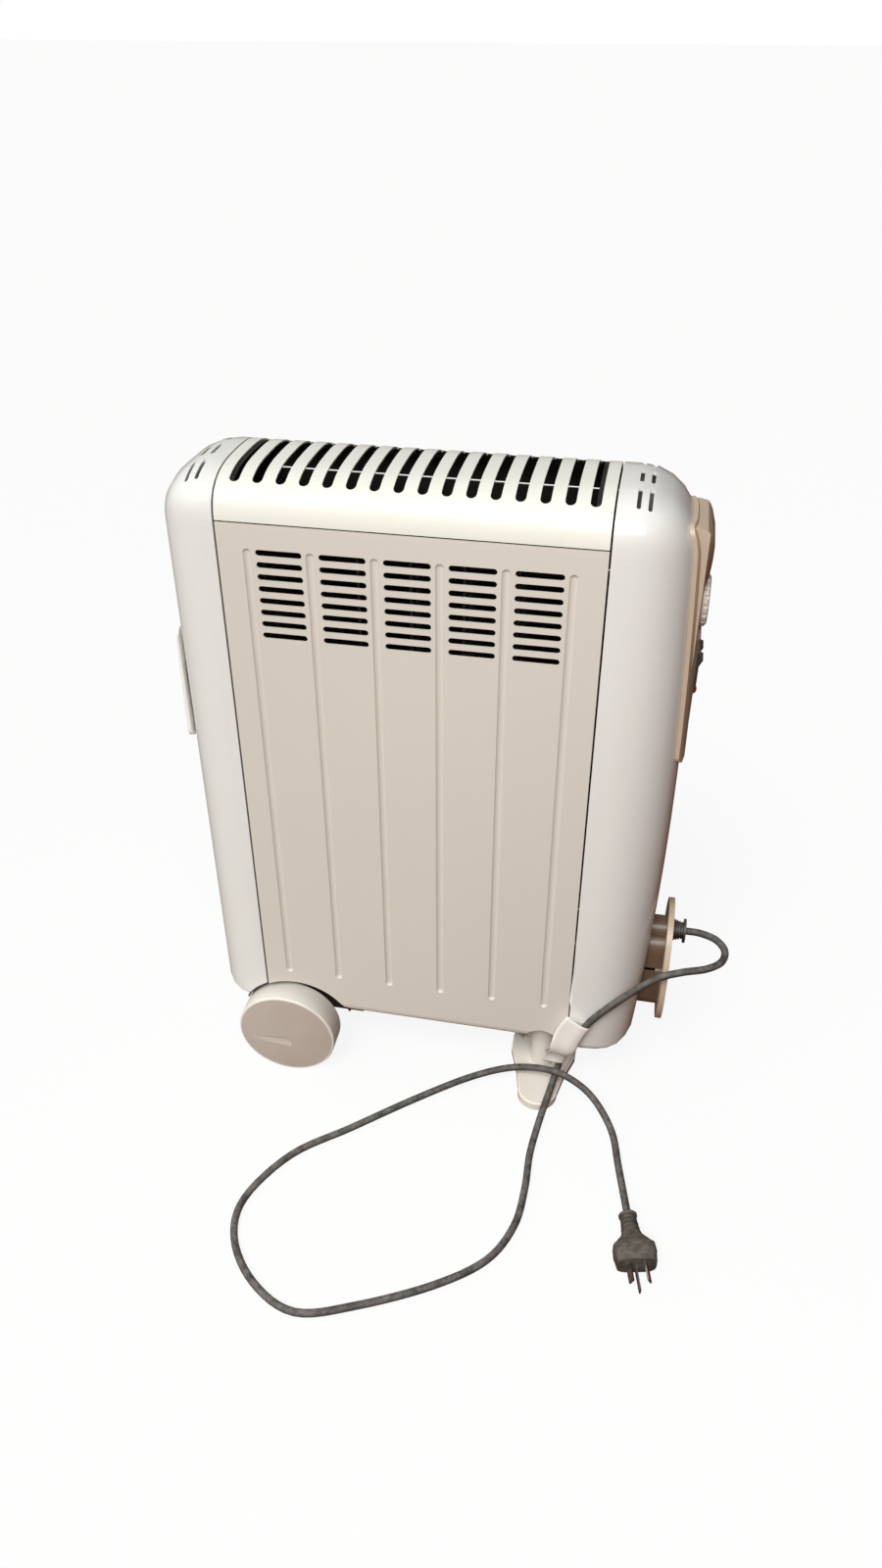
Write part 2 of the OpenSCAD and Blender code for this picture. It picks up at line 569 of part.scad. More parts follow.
module rocker(s) translate([pivot_x, s * rocker_spread - rocker_w / 2, rocker_z]) rotate([0, rocker_tilt, 0]) {
    along_y(0, rocker_w) polygon([[-4, -4], [2.6, -rocker_h / 2], [6, -rocker_h / 2 + 0.8], [4.2, -4], [3.6, 0],
        [4.2, 4], [6, rocker_h / 2 - 0.8], [2.6, rocker_h / 2], [-4, 4]]);
    rod_y(0, -1, 0, pivot_r, rocker_w + 2);
}
module front_switch() color([0.2, 0.18, 0.17]) seat() switch_case(-1);
module rear_switch() color([0.2, 0.18, 0.17]) seat() switch_case(1);
module front_rocker() color([0.13, 0.1, 0.09]) seat() rocker(-1);
module rear_rocker() color([0.13, 0.1, 0.09]) seat() rocker(1);
module lamp_holder() color([0.85, 0.85, 0.82]) seat() difference() {
    rod_x(right_end - 14, 0, lamp_z, lens_r + 0.5, console_face - right_end + 12.5);
    rod_x(right_end - 4, 0, lamp_z, lens_r - 1, 30);
}
module pilot_lens() color([0.85, 0.45, 0.3]) seat() translate([console_face - 1.3, 0, lamp_z]) rotate([0, 90, 0])
    rotate_extrude() polygon([[0, 0], [lens_r, 0], [lens_r, 1.6], [lens_r - 0.4, 3], [lens_r - 1.6, 4.2],
        [0, 4.8]]);
module control_bracket() color([0.62, 0.63, 0.64]) seat() difference() {
    back = bulkhead_x + sheet + slip;
    bracket_high = header_high - header_r - 24.2;
    union() {
        block([right_end - 27.4, right_end - 26.2], [-24, 24], [lamp_z - 20, knob_z + 24]);
        for (z = [lamp_z - 20, bracket_high]) block([back, right_end - 27.3], [-24, 24], [z, z + 1.2]);
        for (z = [lamp_z - 20, bracket_high - 10]) block([back, back + 1.2], [-24, 24], [z, z + 11.2]);
        for (s = [-1, 1]) block([right_end - 26.3, right_end - 14.2], [s * rocker_spread - 8, s * rocker_spread
            + 8], [rocker_z - 13, rocker_z - 11.8]);
        block([right_end - 26.3, right_end - 14.2], [-5, 5], [lamp_z - 6, lamp_z - 4.8]);
    }
    for (s = [-1, 1]) {
        block([right_end - 40, right_end - 20], [s * 9 - 4, s * 9 + 4], [knob_z - 12, knob_z - 7]);
        rod_x(right_end - 30, s * rocker_spread, rocker_z - 6, 3.5, 6);
        translate([lead_x, s * 17, lamp_z - 21]) cylinder(r = 3.5, h = 4);
    }
}

// Section of the cord wrap's hub, with a round duct at its top where the cord leaves
module hub_section(inset) {
    translate([0, hub_z - 6]) round_rect(hub_w - 2 * inset, hub_h - 2 * inset, 16 - inset);
    translate([0, boot_z]) circle(r = 12.8 - inset);
}
module cord_hub() color([0.75, 0.7, 0.65]) seat() difference() {
    along_x(right_end - 1, wrap_gap + 1) difference() {
        hub_section(0);
        hub_section(3);
    }
    translate([slip, 0, 0]) cap_form(right_end, belly);
    block([right_end - 2, wrap_x + 1], [-hub_w, 0], [hub_z - 1, hub_z + 5]);
}
module cord_flange() color([0.75, 0.7, 0.65]) seat() difference() {
    union() {
        translate([wrap_x, 0, hub_z]) rotate([90, 0, 90]) linear_extrude(flange_t) resize([flange_w, flange_h])
            circle(r = 60, $fn = 60);
        along_x(wrap_x - 6, 6.5) hub_section(3 + slip);
    }
    rod_x(wrap_x - 10, 0, boot_z, 8, 30);
}
module strain_relief() color([0.25, 0.22, 0.2]) seat() {
    rod_x(wrap_x - 10, 0, boot_z, 7.8, flange_t + 12);
    rod_x(wrap_x - 9, 0, boot_z, 9.5, 2.6);
    translate([flange_x + slip, 0, boot_z]) rotate([0, 90, 0]) cylinder(h = boot_l - slip - 1, r1 = 10, r2 = 6.5);
    for (k = [0:3]) rod_x(flange_x + 1.5 + 2.4 * k, 0, boot_z, 10.4 - k * 0.7, 1.3);
    rod_x(flange_x + boot_l - 2.2, 0, boot_z, boot_r, 2.2);
}
module cord_clamp() color([0.3, 0.28, 0.27]) seat() difference() {
    intersection() {
        block([right_end - 20, right_end + 20], [-11, 11], [boot_z - 9, boot_z + 9]);
        translate([-cap_wall - 0.4, 0, 0]) cap_form(right_end, belly);
    }
    rod_x(right_end - 30, 0, boot_z, cord_r + 0.1, 60);
}

// Sideways directions of rings along a path, each carried on from the last so that the sweep never twists
function carry(headings, side, i = 0) = i == len(headings) ? [] : let (next = unit(side - side * headings[i]
    * headings[i])) concat([next], carry(headings, next, i + 1));
// Sweeps an outline along a path; its first axis starts off towards side
module sweep(path, outline, side) {
    count = len(path);
    n = len(outline);
    heading = [for (i = [0:count - 1]) unit(path[min(i + 1, count - 1)] - path[max(i - 1, 0)])];
    across = carry(heading, side);
    points = [for (i = [0:count - 1], q = outline) path[i] + q[0] * across[i] + q[1] * cross(heading[i],
        across[i])];
    polyhedron(points, concat(end_face(n, 0, false), ring_walls(n, count, 0, true), end_face(n, n * (count - 1),
        true)));
}
module tube(path, r, sides) sweep(path, [for (k = [0:sides - 1]) r * [cos(360 * k / sides), sin(360 * k
    / sides)]], [0, 1, 0.1]);
module power_cord() color([0.22, 0.22, 0.22]) tube(cord_line, cord_r, cord_sides);
module at_cord_end() {
    last = cord_line[len(cord_line) - 1];
    way = unit(last - cord_line[len(cord_line) - 2]);
    translate(last) rotate([0, -asin(way[2]), atan2(way[1], way[0])]) children();
}
module plug_body() color([0.24, 0.24, 0.24]) at_cord_end() {
    rod_x(0, 0, 0, 6, 5);
    for (k = [0:2]) rod_x(5.5 + 5 * k, 0, 0, 8 + k, 3);
    rod_x(3, 0, 0, 6.5, 16);
    difference() {
        hull() {
            rod_x(18, 0, 0, 11, 2);
            translate([30, 0, 0]) rotate([90, 0, 90]) linear_extrude(2) round_rect(39, 25, 9);
            translate([50, 0, 0]) rotate([90, 0, 90]) linear_extrude(2) round_rect(36, 25, 8);
        }
        block([40, 50.4], [-19.9, -16.8], [-2, 2]);
    }
}
module plug_pins() color([0.8, 0.75, 0.6]) at_cord_end() {
    for (s = [-1, 1]) translate([52.1, s * 7.9, 2.5]) rotate([s * 30, 0, 0]) translate([0, -0.8, -3.1])
        cube([17.4, 1.6, 6.3]);
    translate([52.1, -0.8, -11.2]) cube([20, 1.6, 6.3]);
}
// Half outline of the folded tag, from its free edge to the far side of the cord
function tag_line(r) = concat([[tag_w, r - 2.6], [tag_w * 0.6, r - 2], [cord_r + 2, r - 0.6]],
    [for (a = [90:30:270]) r * [cos(a), sin(a)]], [[cord_r + 2, 0.6 - r], [tag_w * 0.6, 2 - r], [tag_w,
    2.6 - r]]);
module cord_tag() color([0.93, 0.89, 0.78]) {
    outer = tag_line(cord_r + tag_t + slip);
    inner = tag_line(cord_r + slip);
    sweep([for (i = [21:28]) cord_line[i]], concat(outer, [for (k = [len(inner) - 1:-1:0]) inner[k]]),
        [-1, -0.25, 0]);
}

module axle() color([0.72, 0.72, 0.72]) seat() rod_y(-wheel_x, -axle_half, wheel_z, axle_d / 2, 2 * axle_half);
module axle_bracket() color([0.35, 0.35, 0.36]) seat() difference() {
    union() {
        block([-wheel_x - 14, -wheel_x + 18], [-bracket_y, bracket_y], [underside - 2.2, underside - 0.2]);
        both_sides() along_y(-bracket_y, 2) {
            translate([-wheel_x - 14, wheel_z]) square([28, underside - 1 - wheel_z]);
            translate([-wheel_x, wheel_z]) circle(r = 14);
        }
    }
    rod_y(-wheel_x, -bracket_y - 1, wheel_z, axle_d / 2, 2 * bracket_y + 2);
}
// Wheel drum with web and hub, standing at the front; its axle runs along Y
module wheel() translate([-wheel_x, -half_depth - wheel_out, wheel_z]) rotate([-90, 0, 0]) rotate_extrude()
    polygon([[axle_d / 2 + axle_fit, 9], [axle_d / 2 + axle_fit, wheel_out + hub_end], [hub_r,
        wheel_out + hub_end], [hub_r + 1, 12], [wheel_r - 4, 12], [wheel_r - 4, wheel_w], [wheel_r - 1, wheel_w],
        [wheel_r, wheel_w - 1.5], [wheel_r, 3], [wheel_r - 0.9, 1.6], [wheel_r - 2.2, 1.4], [wheel_r - 2.2, 4.2],
        [wheel_r - 4.2, 4.2], [wheel_r - 4.2, 9]]);
module wheel_cover() translate([-wheel_x, -half_depth - wheel_out, wheel_z]) difference() {
    rotate([-90, 0, 0]) rotate_extrude() polygon([[0, -1.6], [16, -1.3], [30, -0.5], [40, 0.4],
        [wheel_r - 2.4, 1.5], [wheel_r - 2.4, 4.1], [wheel_r - 4.4, 4.1], [wheel_r - 4.4, 7],
        [wheel_r - 7, 7], [wheel_r - 7, 4.8], [0, 4.6]]);
    // Finger scoop, deepest along its upper edge
    intersection() {
        translate([0, 0, scoop_z]) rotate([90, 0, 0]) linear_extrude(14, center = true) polygon(concat([[-43, 0],
            [-34, 3], [-22, 5.4], [-10, 7.1]], [for (a = [90:-15:-90]) scoop_r * [cos(a), sin(a)] - [2, 0]],
            [[-10, -7.1], [-22, -5.4], [-34, -3]]));
        translate([0, scoop_y, scoop_z + 8.5]) rotate([0, 90, 2]) cylinder(r = scoop_tool_r, h = 110, center = true);
    }
}
module wheel_front() color([0.86, 0.83, 0.78]) seat() wheel();
module wheel_rear() color([0.86, 0.83, 0.78]) seat() mirror([0, 1, 0]) wheel();
module wheel_cover_front() color([0.8, 0.76, 0.7]) seat() wheel_cover();
module wheel_cover_rear() color([0.8, 0.76, 0.7]) seat() mirror([0, 1, 0]) wheel_cover();
module axle_clips() color([0.6, 0.6, 0.6]) seat() both_sides() difference() {
    rod_y(-wheel_x, -half_depth - wheel_out + 7.4, wheel_z, axle_d / 2 + 4, 1.4);
    rod_y(-wheel_x, -half_depth - wheel_out + 6, wheel_z, axle_d / 2, 4);
}

module foot_plan(inset) {
    tip = foot_len / 2 - foot_tip_r;
    polygon([[-foot_tip_r + inset, -tip], [-foot_half_w + 9 + inset, -tip + 24], [-foot_half_w + inset, -14],
        [-foot_half_w + inset, 14], [-foot_half_w + 9 + inset, tip - 24], [-foot_tip_r + inset, tip],
        [foot_tip_r - inset, tip], [foot_half_w - 9 - inset, tip - 24], [foot_half_w - inset, 14],
        [foot_half_w - inset, -14], [foot_half_w - 9 - inset, -tip + 24], [foot_tip_r - inset, -tip]]);
    for (s = [-1, 1]) translate([0, s * tip]) circle(r = foot_tip_r - inset);
}
module foot() color([0.88, 0.86, 0.8]) seat() translate([foot_x, 0, 0]) difference() {
    union() {
        translate([0, 0, 1]) linear_extrude(foot_t - 4) foot_plan(0);
        translate([0, 0, foot_t - 3]) linear_extrude(3) foot_plan(2);
        both_sides() translate([0, -post_y, 0]) {
            translate([0, 0, foot_t - 1]) cylinder(r = post_r, h = underside - socket_drop - 10.5 - foot_t);
            translate([0, 0, underside - socket_drop - 11.5]) cylinder(r1 = post_r, r2 = 8, h = 11);
            translate([0, 0, underside - socket_drop - 1]) cylinder(r = 8, h = socket_drop - 2);
        }
    }
    translate([0, 0, -1]) linear_extrude(foot_t - 4) intersection() {
        foot_plan(4);
        square([200, foot_len - 70], center = true);
    }
    both_sides() translate([0, -foot_len / 2 + foot_tip_r, 0]) cylinder(r = 14.2, h = 2.5);
}
module foot_pads() color([0.15, 0.15, 0.15]) seat() both_sides() translate([foot_x, -foot_len / 2 + foot_tip_r,
    0]) cylinder(r = 14, h = 2.4);
module foot_bracket() color([0.2, 0.2, 0.21]) seat() difference() {
    block([foot_x - 16, foot_x + 16], [-post_y - 18, post_y + 18], [underside - socket_drop,
        underside - 0.2]);
    block([foot_x - 14, foot_x + 14], [-post_y + 12, post_y - 12], [underside - socket_drop - 1,
        underside - 2.2]);
    both_sides() translate([foot_x, -post_y, underside - socket_drop - 1]) cylinder(r = 8 + slip,
        h = socket_drop - 1.6);
    for (s = [-1, 1]) translate([foot_x, s * 8, underside - 10]) cylinder(r = 2.2, h = 20);
}
module foot_screws() color([0.7, 0.7, 0.7]) seat() for (s = [-1, 1]) translate([foot_x, s * 8, 0]) {
    translate([0, 0, underside - 4.8]) cylinder(r = 4, h = 2.5);
    translate([0, 0, underside - 3]) cylinder(r = 2, h = 9);
}

module radiator_fin(i) color([0.8, 0.8, 0.78]) seat() translate([-fin_span + (i - 1) * fin_pitch, 0, 0])
    difference() {
        union() {
            along_x(-fin_t / 2, fin_t) translate([0, fin_low + fin_h / 2]) round_rect(fin_d, fin_h, 26);
            for (y = [-33, -11, 11, 33]) translate([0, y, header_low]) cylinder(r = 4.5, h = header_high
                - header_low);
            for (z = [header_low, header_high]) rod_x(-fin_pitch / 2, 0, z, header_r, fin_pitch);
        }
        for (z = [header_low, header_high]) rod_x(-fin_pitch / 2 - 1, 0, z, header_r - 2, fin_pitch + 2);
    }
module fin_1() radiator_fin(1);
module fin_2() radiator_fin(2);
module fin_3() radiator_fin(3);
module fin_4() radiator_fin(4);
module fin_5() radiator_fin(5);
module fin_6() radiator_fin(6);
module fin_7() radiator_fin(7);
module header_plugs() color([0.7, 0.7, 0.68]) seat() {
    for (z = [header_low, header_high]) rod_x(-header_end - 1.6, 0, z, header_r, 1.6);
    difference() {
        rod_x(header_end, 0, header_high, header_r, 1.6);
        rod_x(header_end - 1, 0, header_high, 6.2, 4);
    }
}
module oil_filler_plug() color([0.8, 0.75, 0.5]) seat() {
    rod_x(header_end - 5, 0, header_high, 6, 6.7);
    translate([header_end + 1.7, 0, header_high]) rotate([0, 90, 0]) cylinder(r = 9, h = 5, $fn = 6);
}
module element_flange() color([0.75, 0.72, 0.6]) seat() difference() {
    union() {
        rod_x(header_end, 0, header_low, header_r, 3);
        translate([header_end + 3, 0, header_low]) rotate([0, 90, 0]) cylinder(r = 20, h = 7, $fn = 6);
    }
    for (s = [-1, 1]) rod_x(header_end - 1, s * 7, header_low, 4.1, 20);
}
module heating_element() color([0.6, 0.58, 0.55]) seat() {
    for (s = [-1, 1]) {
        rod_x(-header_end + 40, s * 7, header_low, 4, 2 * header_end - 24);
        rod_x(header_end + 15, s * 7, header_low, 1.6, 9);
    }
    translate([-header_end + 40.01, 0, header_low]) rotate([0, 0, 90]) rotate_extrude(angle = 180)
        translate([7, 0]) circle(r = 4, $fn = 32);
}
module radiator_saddles() color([0.55, 0.56, 0.57]) seat() for (s = [-1, 1]) difference() {
    union() {
        block([s * 2 * fin_pitch + fin_pitch / 2 - 9, s * 2 * fin_pitch + fin_pitch / 2 + 9], [-30, 30],
            [underside + bulkhead_inset + sheet + slip, underside + bulkhead_inset + sheet + slip + 2]);
        block([s * 2 * fin_pitch + fin_pitch / 2 - 1.5, s * 2 * fin_pitch + fin_pitch / 2 + 1.5], [-24, 24],
            [underside + bulkhead_inset + sheet + slip, header_low - 2]);
    }
    rod_x(-300, 0, header_low, header_r + slip, 600);
}
module terminal_block() color([0.88, 0.86, 0.8]) seat() difference() {
    block([bulkhead_x + sheet + slip, bulkhead_x + sheet + 16], [-22, 22], [boot_z + 30, boot_z + 48]);
    for (k = [-1:1]) translate([0, k * 14, 0]) rod_x(bulkhead_x + sheet + 5, 0, boot_z + 39, 3, 20);
}
module thermal_cutout() color([0.72, 0.7, 0.66]) seat() {
    block([fin_span + fin_t / 2 + slip, fin_span + fin_t / 2 + 2], [-28, -16], [knob_z - 90, knob_z - 60]);
    rod_x(fin_span + fin_t / 2 + 1.8, -22, knob_z - 75, 6, 8);
}
// Inner leads between the terminals, and the cord's own inner end, each swept through a few bends
module wiring() color([0.55, 0.2, 0.15]) seat() {
    start = bulkhead_x + sheet + 16;
    for (s = [-1, 1]) {
        tube([[header_end + 24.2, s * 7, header_low], [header_end + 29, s * 7, header_low], [header_end + 33,
            s * 9, header_low + 6], [start + 16, s * 13, header_low + 30], [start + 12, s * 14, boot_z + 34],
            [start + 5, s * 14, boot_z + 39], [start, s * 14, boot_z + 39]], lead_r, 8);
        tube([[start, s * 18, boot_z + 43], [start + 5, s * 18, boot_z + 43], [start + 9, s * 18, boot_z + 50],
            [lead_x, s * 17, boot_z + 120], [lead_x, s * 17, lamp_z - 30], [lead_x, s * 17, lamp_z - 10],
            [right_end - 30, s * rocker_spread, rocker_z - 22], [right_end - 29.5, s * rocker_spread,
            rocker_z - 10], [right_end - 27, s * rocker_spread, rocker_z - 6], [right_end - 22.2,
            s * rocker_spread, rocker_z - 6]], lead_r, 8);
    }
    tube([[wrap_x - 10, 0, boot_z], [right_end - 24, 0, boot_z], [right_end - 33, 0, boot_z + 6],
        [start + 9, 0, boot_z + 30], [start + 5, 0, boot_z + 39], [start, 0, boot_z + 39]], cord_r, 8);
}

front_panel();
rear_panel();
top_grille();
left_end_cap();
right_end_cap();
left_bulkhead();
right_bulkhead();
base_tray();
heat_shield();
front_wheel_arch();
rear_wheel_arch();
left_grip();
control_plate();
control_console();
thermostat_knob();
thermostat_shaft();
thermostat_body();
front_rocker();
rear_rocker();
front_switch();
rear_switch();
pilot_lens();
lamp_holder();
control_bracket();
cord_hub();
cord_flange();
strain_relief();
power_cord();
cord_tag();
plug_body();
plug_pins();
cord_clamp();
terminal_block();
thermal_cutout();
wiring();
wheel_front();
wheel_rear();
wheel_cover_front();
wheel_cover_rear();
axle();
axle_bracket();
axle_clips();
foot();
foot_pads();
foot_bracket();
fin_1();
fin_2();
fin_3();
fin_4();
fin_5();
fin_6();
fin_7();
header_plugs();
heating_element();
element_flange();
oil_filler_plug();
radiator_saddles();
cap_screws();
foot_screws();
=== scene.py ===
# %% [markdown]
# # A cased electric radiator, dressed for its portrait
#
# The heater comes to Blender as a finished set of solids: casing, wheels, foot, controls, cord. This lesson gives
# those solids their paint, plastic, rubber and dust, and swaps the few pieces that are soft or fine (the cord, its
# paper tag, the fluff beside the foot) for better ones. Everything is in metres, and nothing solid is moved.

# %% Load the frame
import math
import random
import bpy
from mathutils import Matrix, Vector


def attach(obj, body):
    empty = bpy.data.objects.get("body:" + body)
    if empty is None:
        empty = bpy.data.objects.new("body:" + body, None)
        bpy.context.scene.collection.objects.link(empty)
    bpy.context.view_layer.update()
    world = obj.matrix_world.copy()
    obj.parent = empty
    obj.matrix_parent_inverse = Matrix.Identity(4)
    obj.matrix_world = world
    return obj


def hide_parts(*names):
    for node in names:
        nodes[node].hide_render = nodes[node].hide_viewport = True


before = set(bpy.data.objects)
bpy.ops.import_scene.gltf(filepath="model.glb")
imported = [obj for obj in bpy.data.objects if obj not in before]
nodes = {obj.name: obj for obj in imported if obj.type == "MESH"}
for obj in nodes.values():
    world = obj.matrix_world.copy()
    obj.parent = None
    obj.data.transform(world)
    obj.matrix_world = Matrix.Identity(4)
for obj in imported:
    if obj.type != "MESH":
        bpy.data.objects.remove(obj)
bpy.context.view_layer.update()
scene = bpy.context.scene

# %% [markdown]
# ## The camera
#
# The photograph was taken from in front of the heater's right half and from well above its roof. The straight edges
# of the casing fix the lens and the view, so the camera is set once from them: a wide lens, tilted well down and
# turned a little to the left. A camera could also be aimed with a Track To constraint, but plain numbers are easier
# to check. Blender's camera looks straight down at a tilt of 0 and level at 90 degrees.

# %% Camera
CAMERA_PLACE = (0.1689, -0.8594, 0.9411)
CAMERA_TILT, CAMERA_TURN = 55.25, 11.15  # degrees
FOCAL_PIXELS, FRAME_PIXELS = 1163.04, 1600  # the focal length and the frame's long side, in pixels of the photograph
SENSOR = 36  # millimetres on the long side

camera = bpy.data.objects.new("camera", bpy.data.cameras.new("camera"))
scene.collection.objects.link(camera)
camera.location = CAMERA_PLACE
camera.rotation_euler = (math.radians(CAMERA_TILT), 0, math.radians(CAMERA_TURN))
camera.data.sensor_width = SENSOR
camera.data.lens = SENSOR * FOCAL_PIXELS / FRAME_PIXELS
scene.camera = camera
scene.view_settings.view_transform = "Standard"
print("lens", round(camera.data.lens, 2), "mm")

# %% [markdown]
# ## The cord's line
#
# A mains lead is a fixed length of something springy. It leaves the strain relief straight, drops past the corner of
# the casing to the floor, runs out in one big loop, comes back over itself beside the foot and ends in its plug. The
# route is a short list of points with a smooth curve through them. A Bezier curve with handles would do as well, but
# with a list of points every ring of the tube can be checked against the casing.

# %% Cord route
CORD_D = 0.007
CORD_STEPS = 6  # drawn points from one route point to the next
CORD_ROUTE = [Vector(p) / 1000 for p in (  # millimetres
    (241.7, 0, 192), (256, -0.7, 192), (271, -7.5, 192), (279, -22, 192.4), (275.5, -39, 193), (261.5, -51, 193),
    (240, -57, 190.5), (219, -59, 181), (199, -62.5, 164), (180, -67, 146), (161, -71, 124), (150.5, -71.5, 101),
    (144.5, -69, 78), (138.5, -54.5, 58), (134.3, -50, 42), (131.3, -54.5, 28), (128, -67.5, 18.5),
    (124.5, -86, 14.5), (119.5, -113, 5.8), (116.5, -145, 3.9), (117, -184, 3.6), (112.5, -225, 3.6),
    (93, -264, 3.6), (51, -297, 3.6), (-10, -328, 3.6), (-62, -344.5, 3.6), (-106, -325, 3.6), (-137, -287, 3.6),
    (-142, -244, 3.6), (-113, -188.5, 3.6), (-64, -146.5, 3.9), (-11, -101.5, 5), (41, -68.5, 13), (83, -55.5, 23.5),
    (119, -58.5, 33), (145, -64.5, 32), (171, -76.5, 22), (193, -105, 11), (203, -148, 11.6),
    (214.5, -198.5, 12.5))]


def smooth_line(route, steps):
    """Points of a smooth curve through a route, with the given number of steps between two route points."""
    ends = [2 * route[0] - route[1], *route, 2 * route[-1] - route[-2]]
    line = []
    for a, b, c, d in zip(ends, ends[1:], ends[2:], ends[3:]):
        for k in range(steps):
            t = k / steps
            line.append(0.5 * (2 * b + (c - a) * t + (2 * a - 5 * b + 4 * c - d) * t * t
                               + (3 * b - a - 3 * c + d) * t ** 3))
    return line + [route[-1]]


cord_line = smooth_line(CORD_ROUTE, CORD_STEPS)

# %% [markdown]
# The cord itself is a curve with a round bevel: one open spline, so its own line stays readable as the cord's middle,
# and the tube follows it without any mesh to build. The bevel is a metre deep, and each point's radius brings it down
# to the cord's own size, because Blender draws a curve's box from its points' radius and not from the bevel's depth.

# %% Cord
FULL_BEVEL = 1.0  # metres, times each point's own radius

cord_data = bpy.data.curves.new("cord", "CURVE")
cord_data.dimensions = "3D"
cord_data.bevel_depth = FULL_BEVEL
cord_data.bevel_resolution = 5
cord_data.use_fill_caps = True
spline = cord_data.splines.new("POLY")
spline.points.add(len(cord_line) - 1)
for point, place in zip(spline.points, cord_line):
    point.co = (*place, 1)
    point.radius = CORD_D / 2
cord = bpy.data.objects.new("cord", cord_data)
scene.collection.objects.link(cord)
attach(cord, "heater_base")
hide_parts("power_cord")
print("cord spline points", len(spline.points))

# %% [markdown]
# ## Small helpers for finishes
#
# A finish is one Principled shader fed by a few masks. Masks that many finishes share, such as drifting tone, scuffs
# and dust, are node groups: built once, with named inputs, and placed in each material with its own values. A group
# only hands out colours, masks and heights. The shader stays in the material, where an exporter can read it.


# %% Helpers
def linear(*rgb):
    """A colour as a picture shows it, from 0 to 255, as the linear colour that a shader wants."""
    return tuple((c / 255 / 12.92) if c / 255 <= 0.04045 else ((c / 255 + 0.055) / 1.055) ** 2.4 for c in rgb) + (1,)


def new_group(name, inputs, outputs):
    """An empty node group with named sockets. inputs are (name, kind, start value), outputs (name, kind)."""
    group = bpy.data.node_groups.new(name, "ShaderNodeTree")
    for title, kind, value in inputs:
        group.interface.new_socket(title, in_out="INPUT", socket_type="NodeSocket" + kind).default_value = value
    for title, kind in outputs:
        group.interface.new_socket(title, in_out="OUTPUT", socket_type="NodeSocket" + kind)
    return group, group.nodes.new("NodeGroupInput").outputs, group.nodes.new("NodeGroupOutput").inputs


def put(tree, kind, settings=(), **inputs):
    """Adds a node. settings are its own properties. inputs are its sockets, by name or as _ and a number, and each
    is a value or another node's output."""
    node = tree.nodes.new(kind if kind.startswith(("Geometry", "Function")) else "ShaderNode" + kind)
    for key, value in dict(settings).items():
        setattr(node, key, value)
    for key, value in inputs.items():
        socket = node.inputs[int(key[1:])] if key[0] == "_" else node.inputs[key.replace("_", " ")]
        if isinstance(value, bpy.types.NodeSocket):
            tree.links.new(value, socket)
        else:
            socket.default_value = value
    return node


def sums(tree, operation, *values):
    """One Math node on the values, in their order."""
    return put(tree, "Math", {"operation": operation}, **{f"_{i}": v for i, v in enumerate(values)}).outputs[0]


def window(tree, value, low, high):
    """A mask that rises softly from 0 to 1 as value goes from low to high."""
    node = put(tree, "MapRange", {"interpolation_type": "SMOOTHSTEP"}, Value=value)
    node.inputs["From Min"].default_value = low
    node.inputs["From Max"].default_value = high
    return node.outputs[0]


def blend(tree, share, a, b):
    """Mixes two colours. share, a and b are values or sockets."""
    return put(tree, "Mix", {"data_type": "RGBA"}, _0=share, _6=a, _7=b).outputs[2]


print("helpers ready")

# %% [markdown]
# ## Shared masks
#
# *Tone drift*: no painted sheet or moulding is one flat colour, so two close tones wander over each other.
# *Grain*: paint has a fine orange peel and plastic a spark-eroded skin, both only a height for a Bump node.
# *Scuffs*: small dark rubs where the heater has been knocked, thin and scattered, stretched one way.
# *Settled dust*: what looks up gathers grey, unevenly. *Worn edges*: corners rub through to a lighter tone.
# *Inner side*: the faces of the sheet that look into the casing are bare and grimy, and darkened much further as
# painted shade, so that the slots look dark. They are found by place and direction: a front or back wall whose face
# looks at the casing's middle, and the roof's underside.


# %% Tone drift and grain
drift_group, gin, gout = new_group("tone_drift", [
    ("Colour", "Color", (1, 1, 1, 1)), ("Other", "Color", (0.8, 0.8, 0.8, 1)), ("Scale", "Float", 6.0),
    ("Amount", "Float", 0.5)], [("Colour", "Color"), ("Mask", "Float")])
here = put(drift_group, "TexCoord").outputs["Object"]
broad = put(drift_group, "TexNoise", Vector=here, Scale=gin["Scale"], Detail=3.0, Roughness=0.55).outputs[0]
wander = sums(drift_group, "MULTIPLY", window(drift_group, broad, 0.3, 0.7), gin["Amount"])
drift_group.links.new(blend(drift_group, wander, gin["Colour"], gin["Other"]), gout["Colour"])
drift_group.links.new(broad, gout["Mask"])

grain_group, gin, gout = new_group("fine_grain", [("Scale", "Float", 900.0), ("Broad", "Float", 0.4)],
                                   [("Height", "Float")])
here = put(grain_group, "TexCoord").outputs["Object"]
fine = put(grain_group, "TexNoise", Vector=here, Scale=gin["Scale"], Detail=2.0).outputs[0]
waves = put(grain_group, "TexNoise", Vector=here, Scale=28.0, Detail=1.0).outputs[0]
grain_group.links.new(sums(grain_group, "MULTIPLY_ADD", waves, gin["Broad"], fine), gout["Height"])
print("groups:", len(bpy.data.node_groups))


# %% Scuffs
SCUFF_SLANT = (0.4, 0.9, 0.5)  # radians
SCUFF_STRETCH = (1.0, 1.0, 0.22)
RAGGED = 0.09  # how far noise moves a scuff's outline
SCUFF_EDGE = (0.06, 0.12)  # distance from a scuff's middle at which it fades

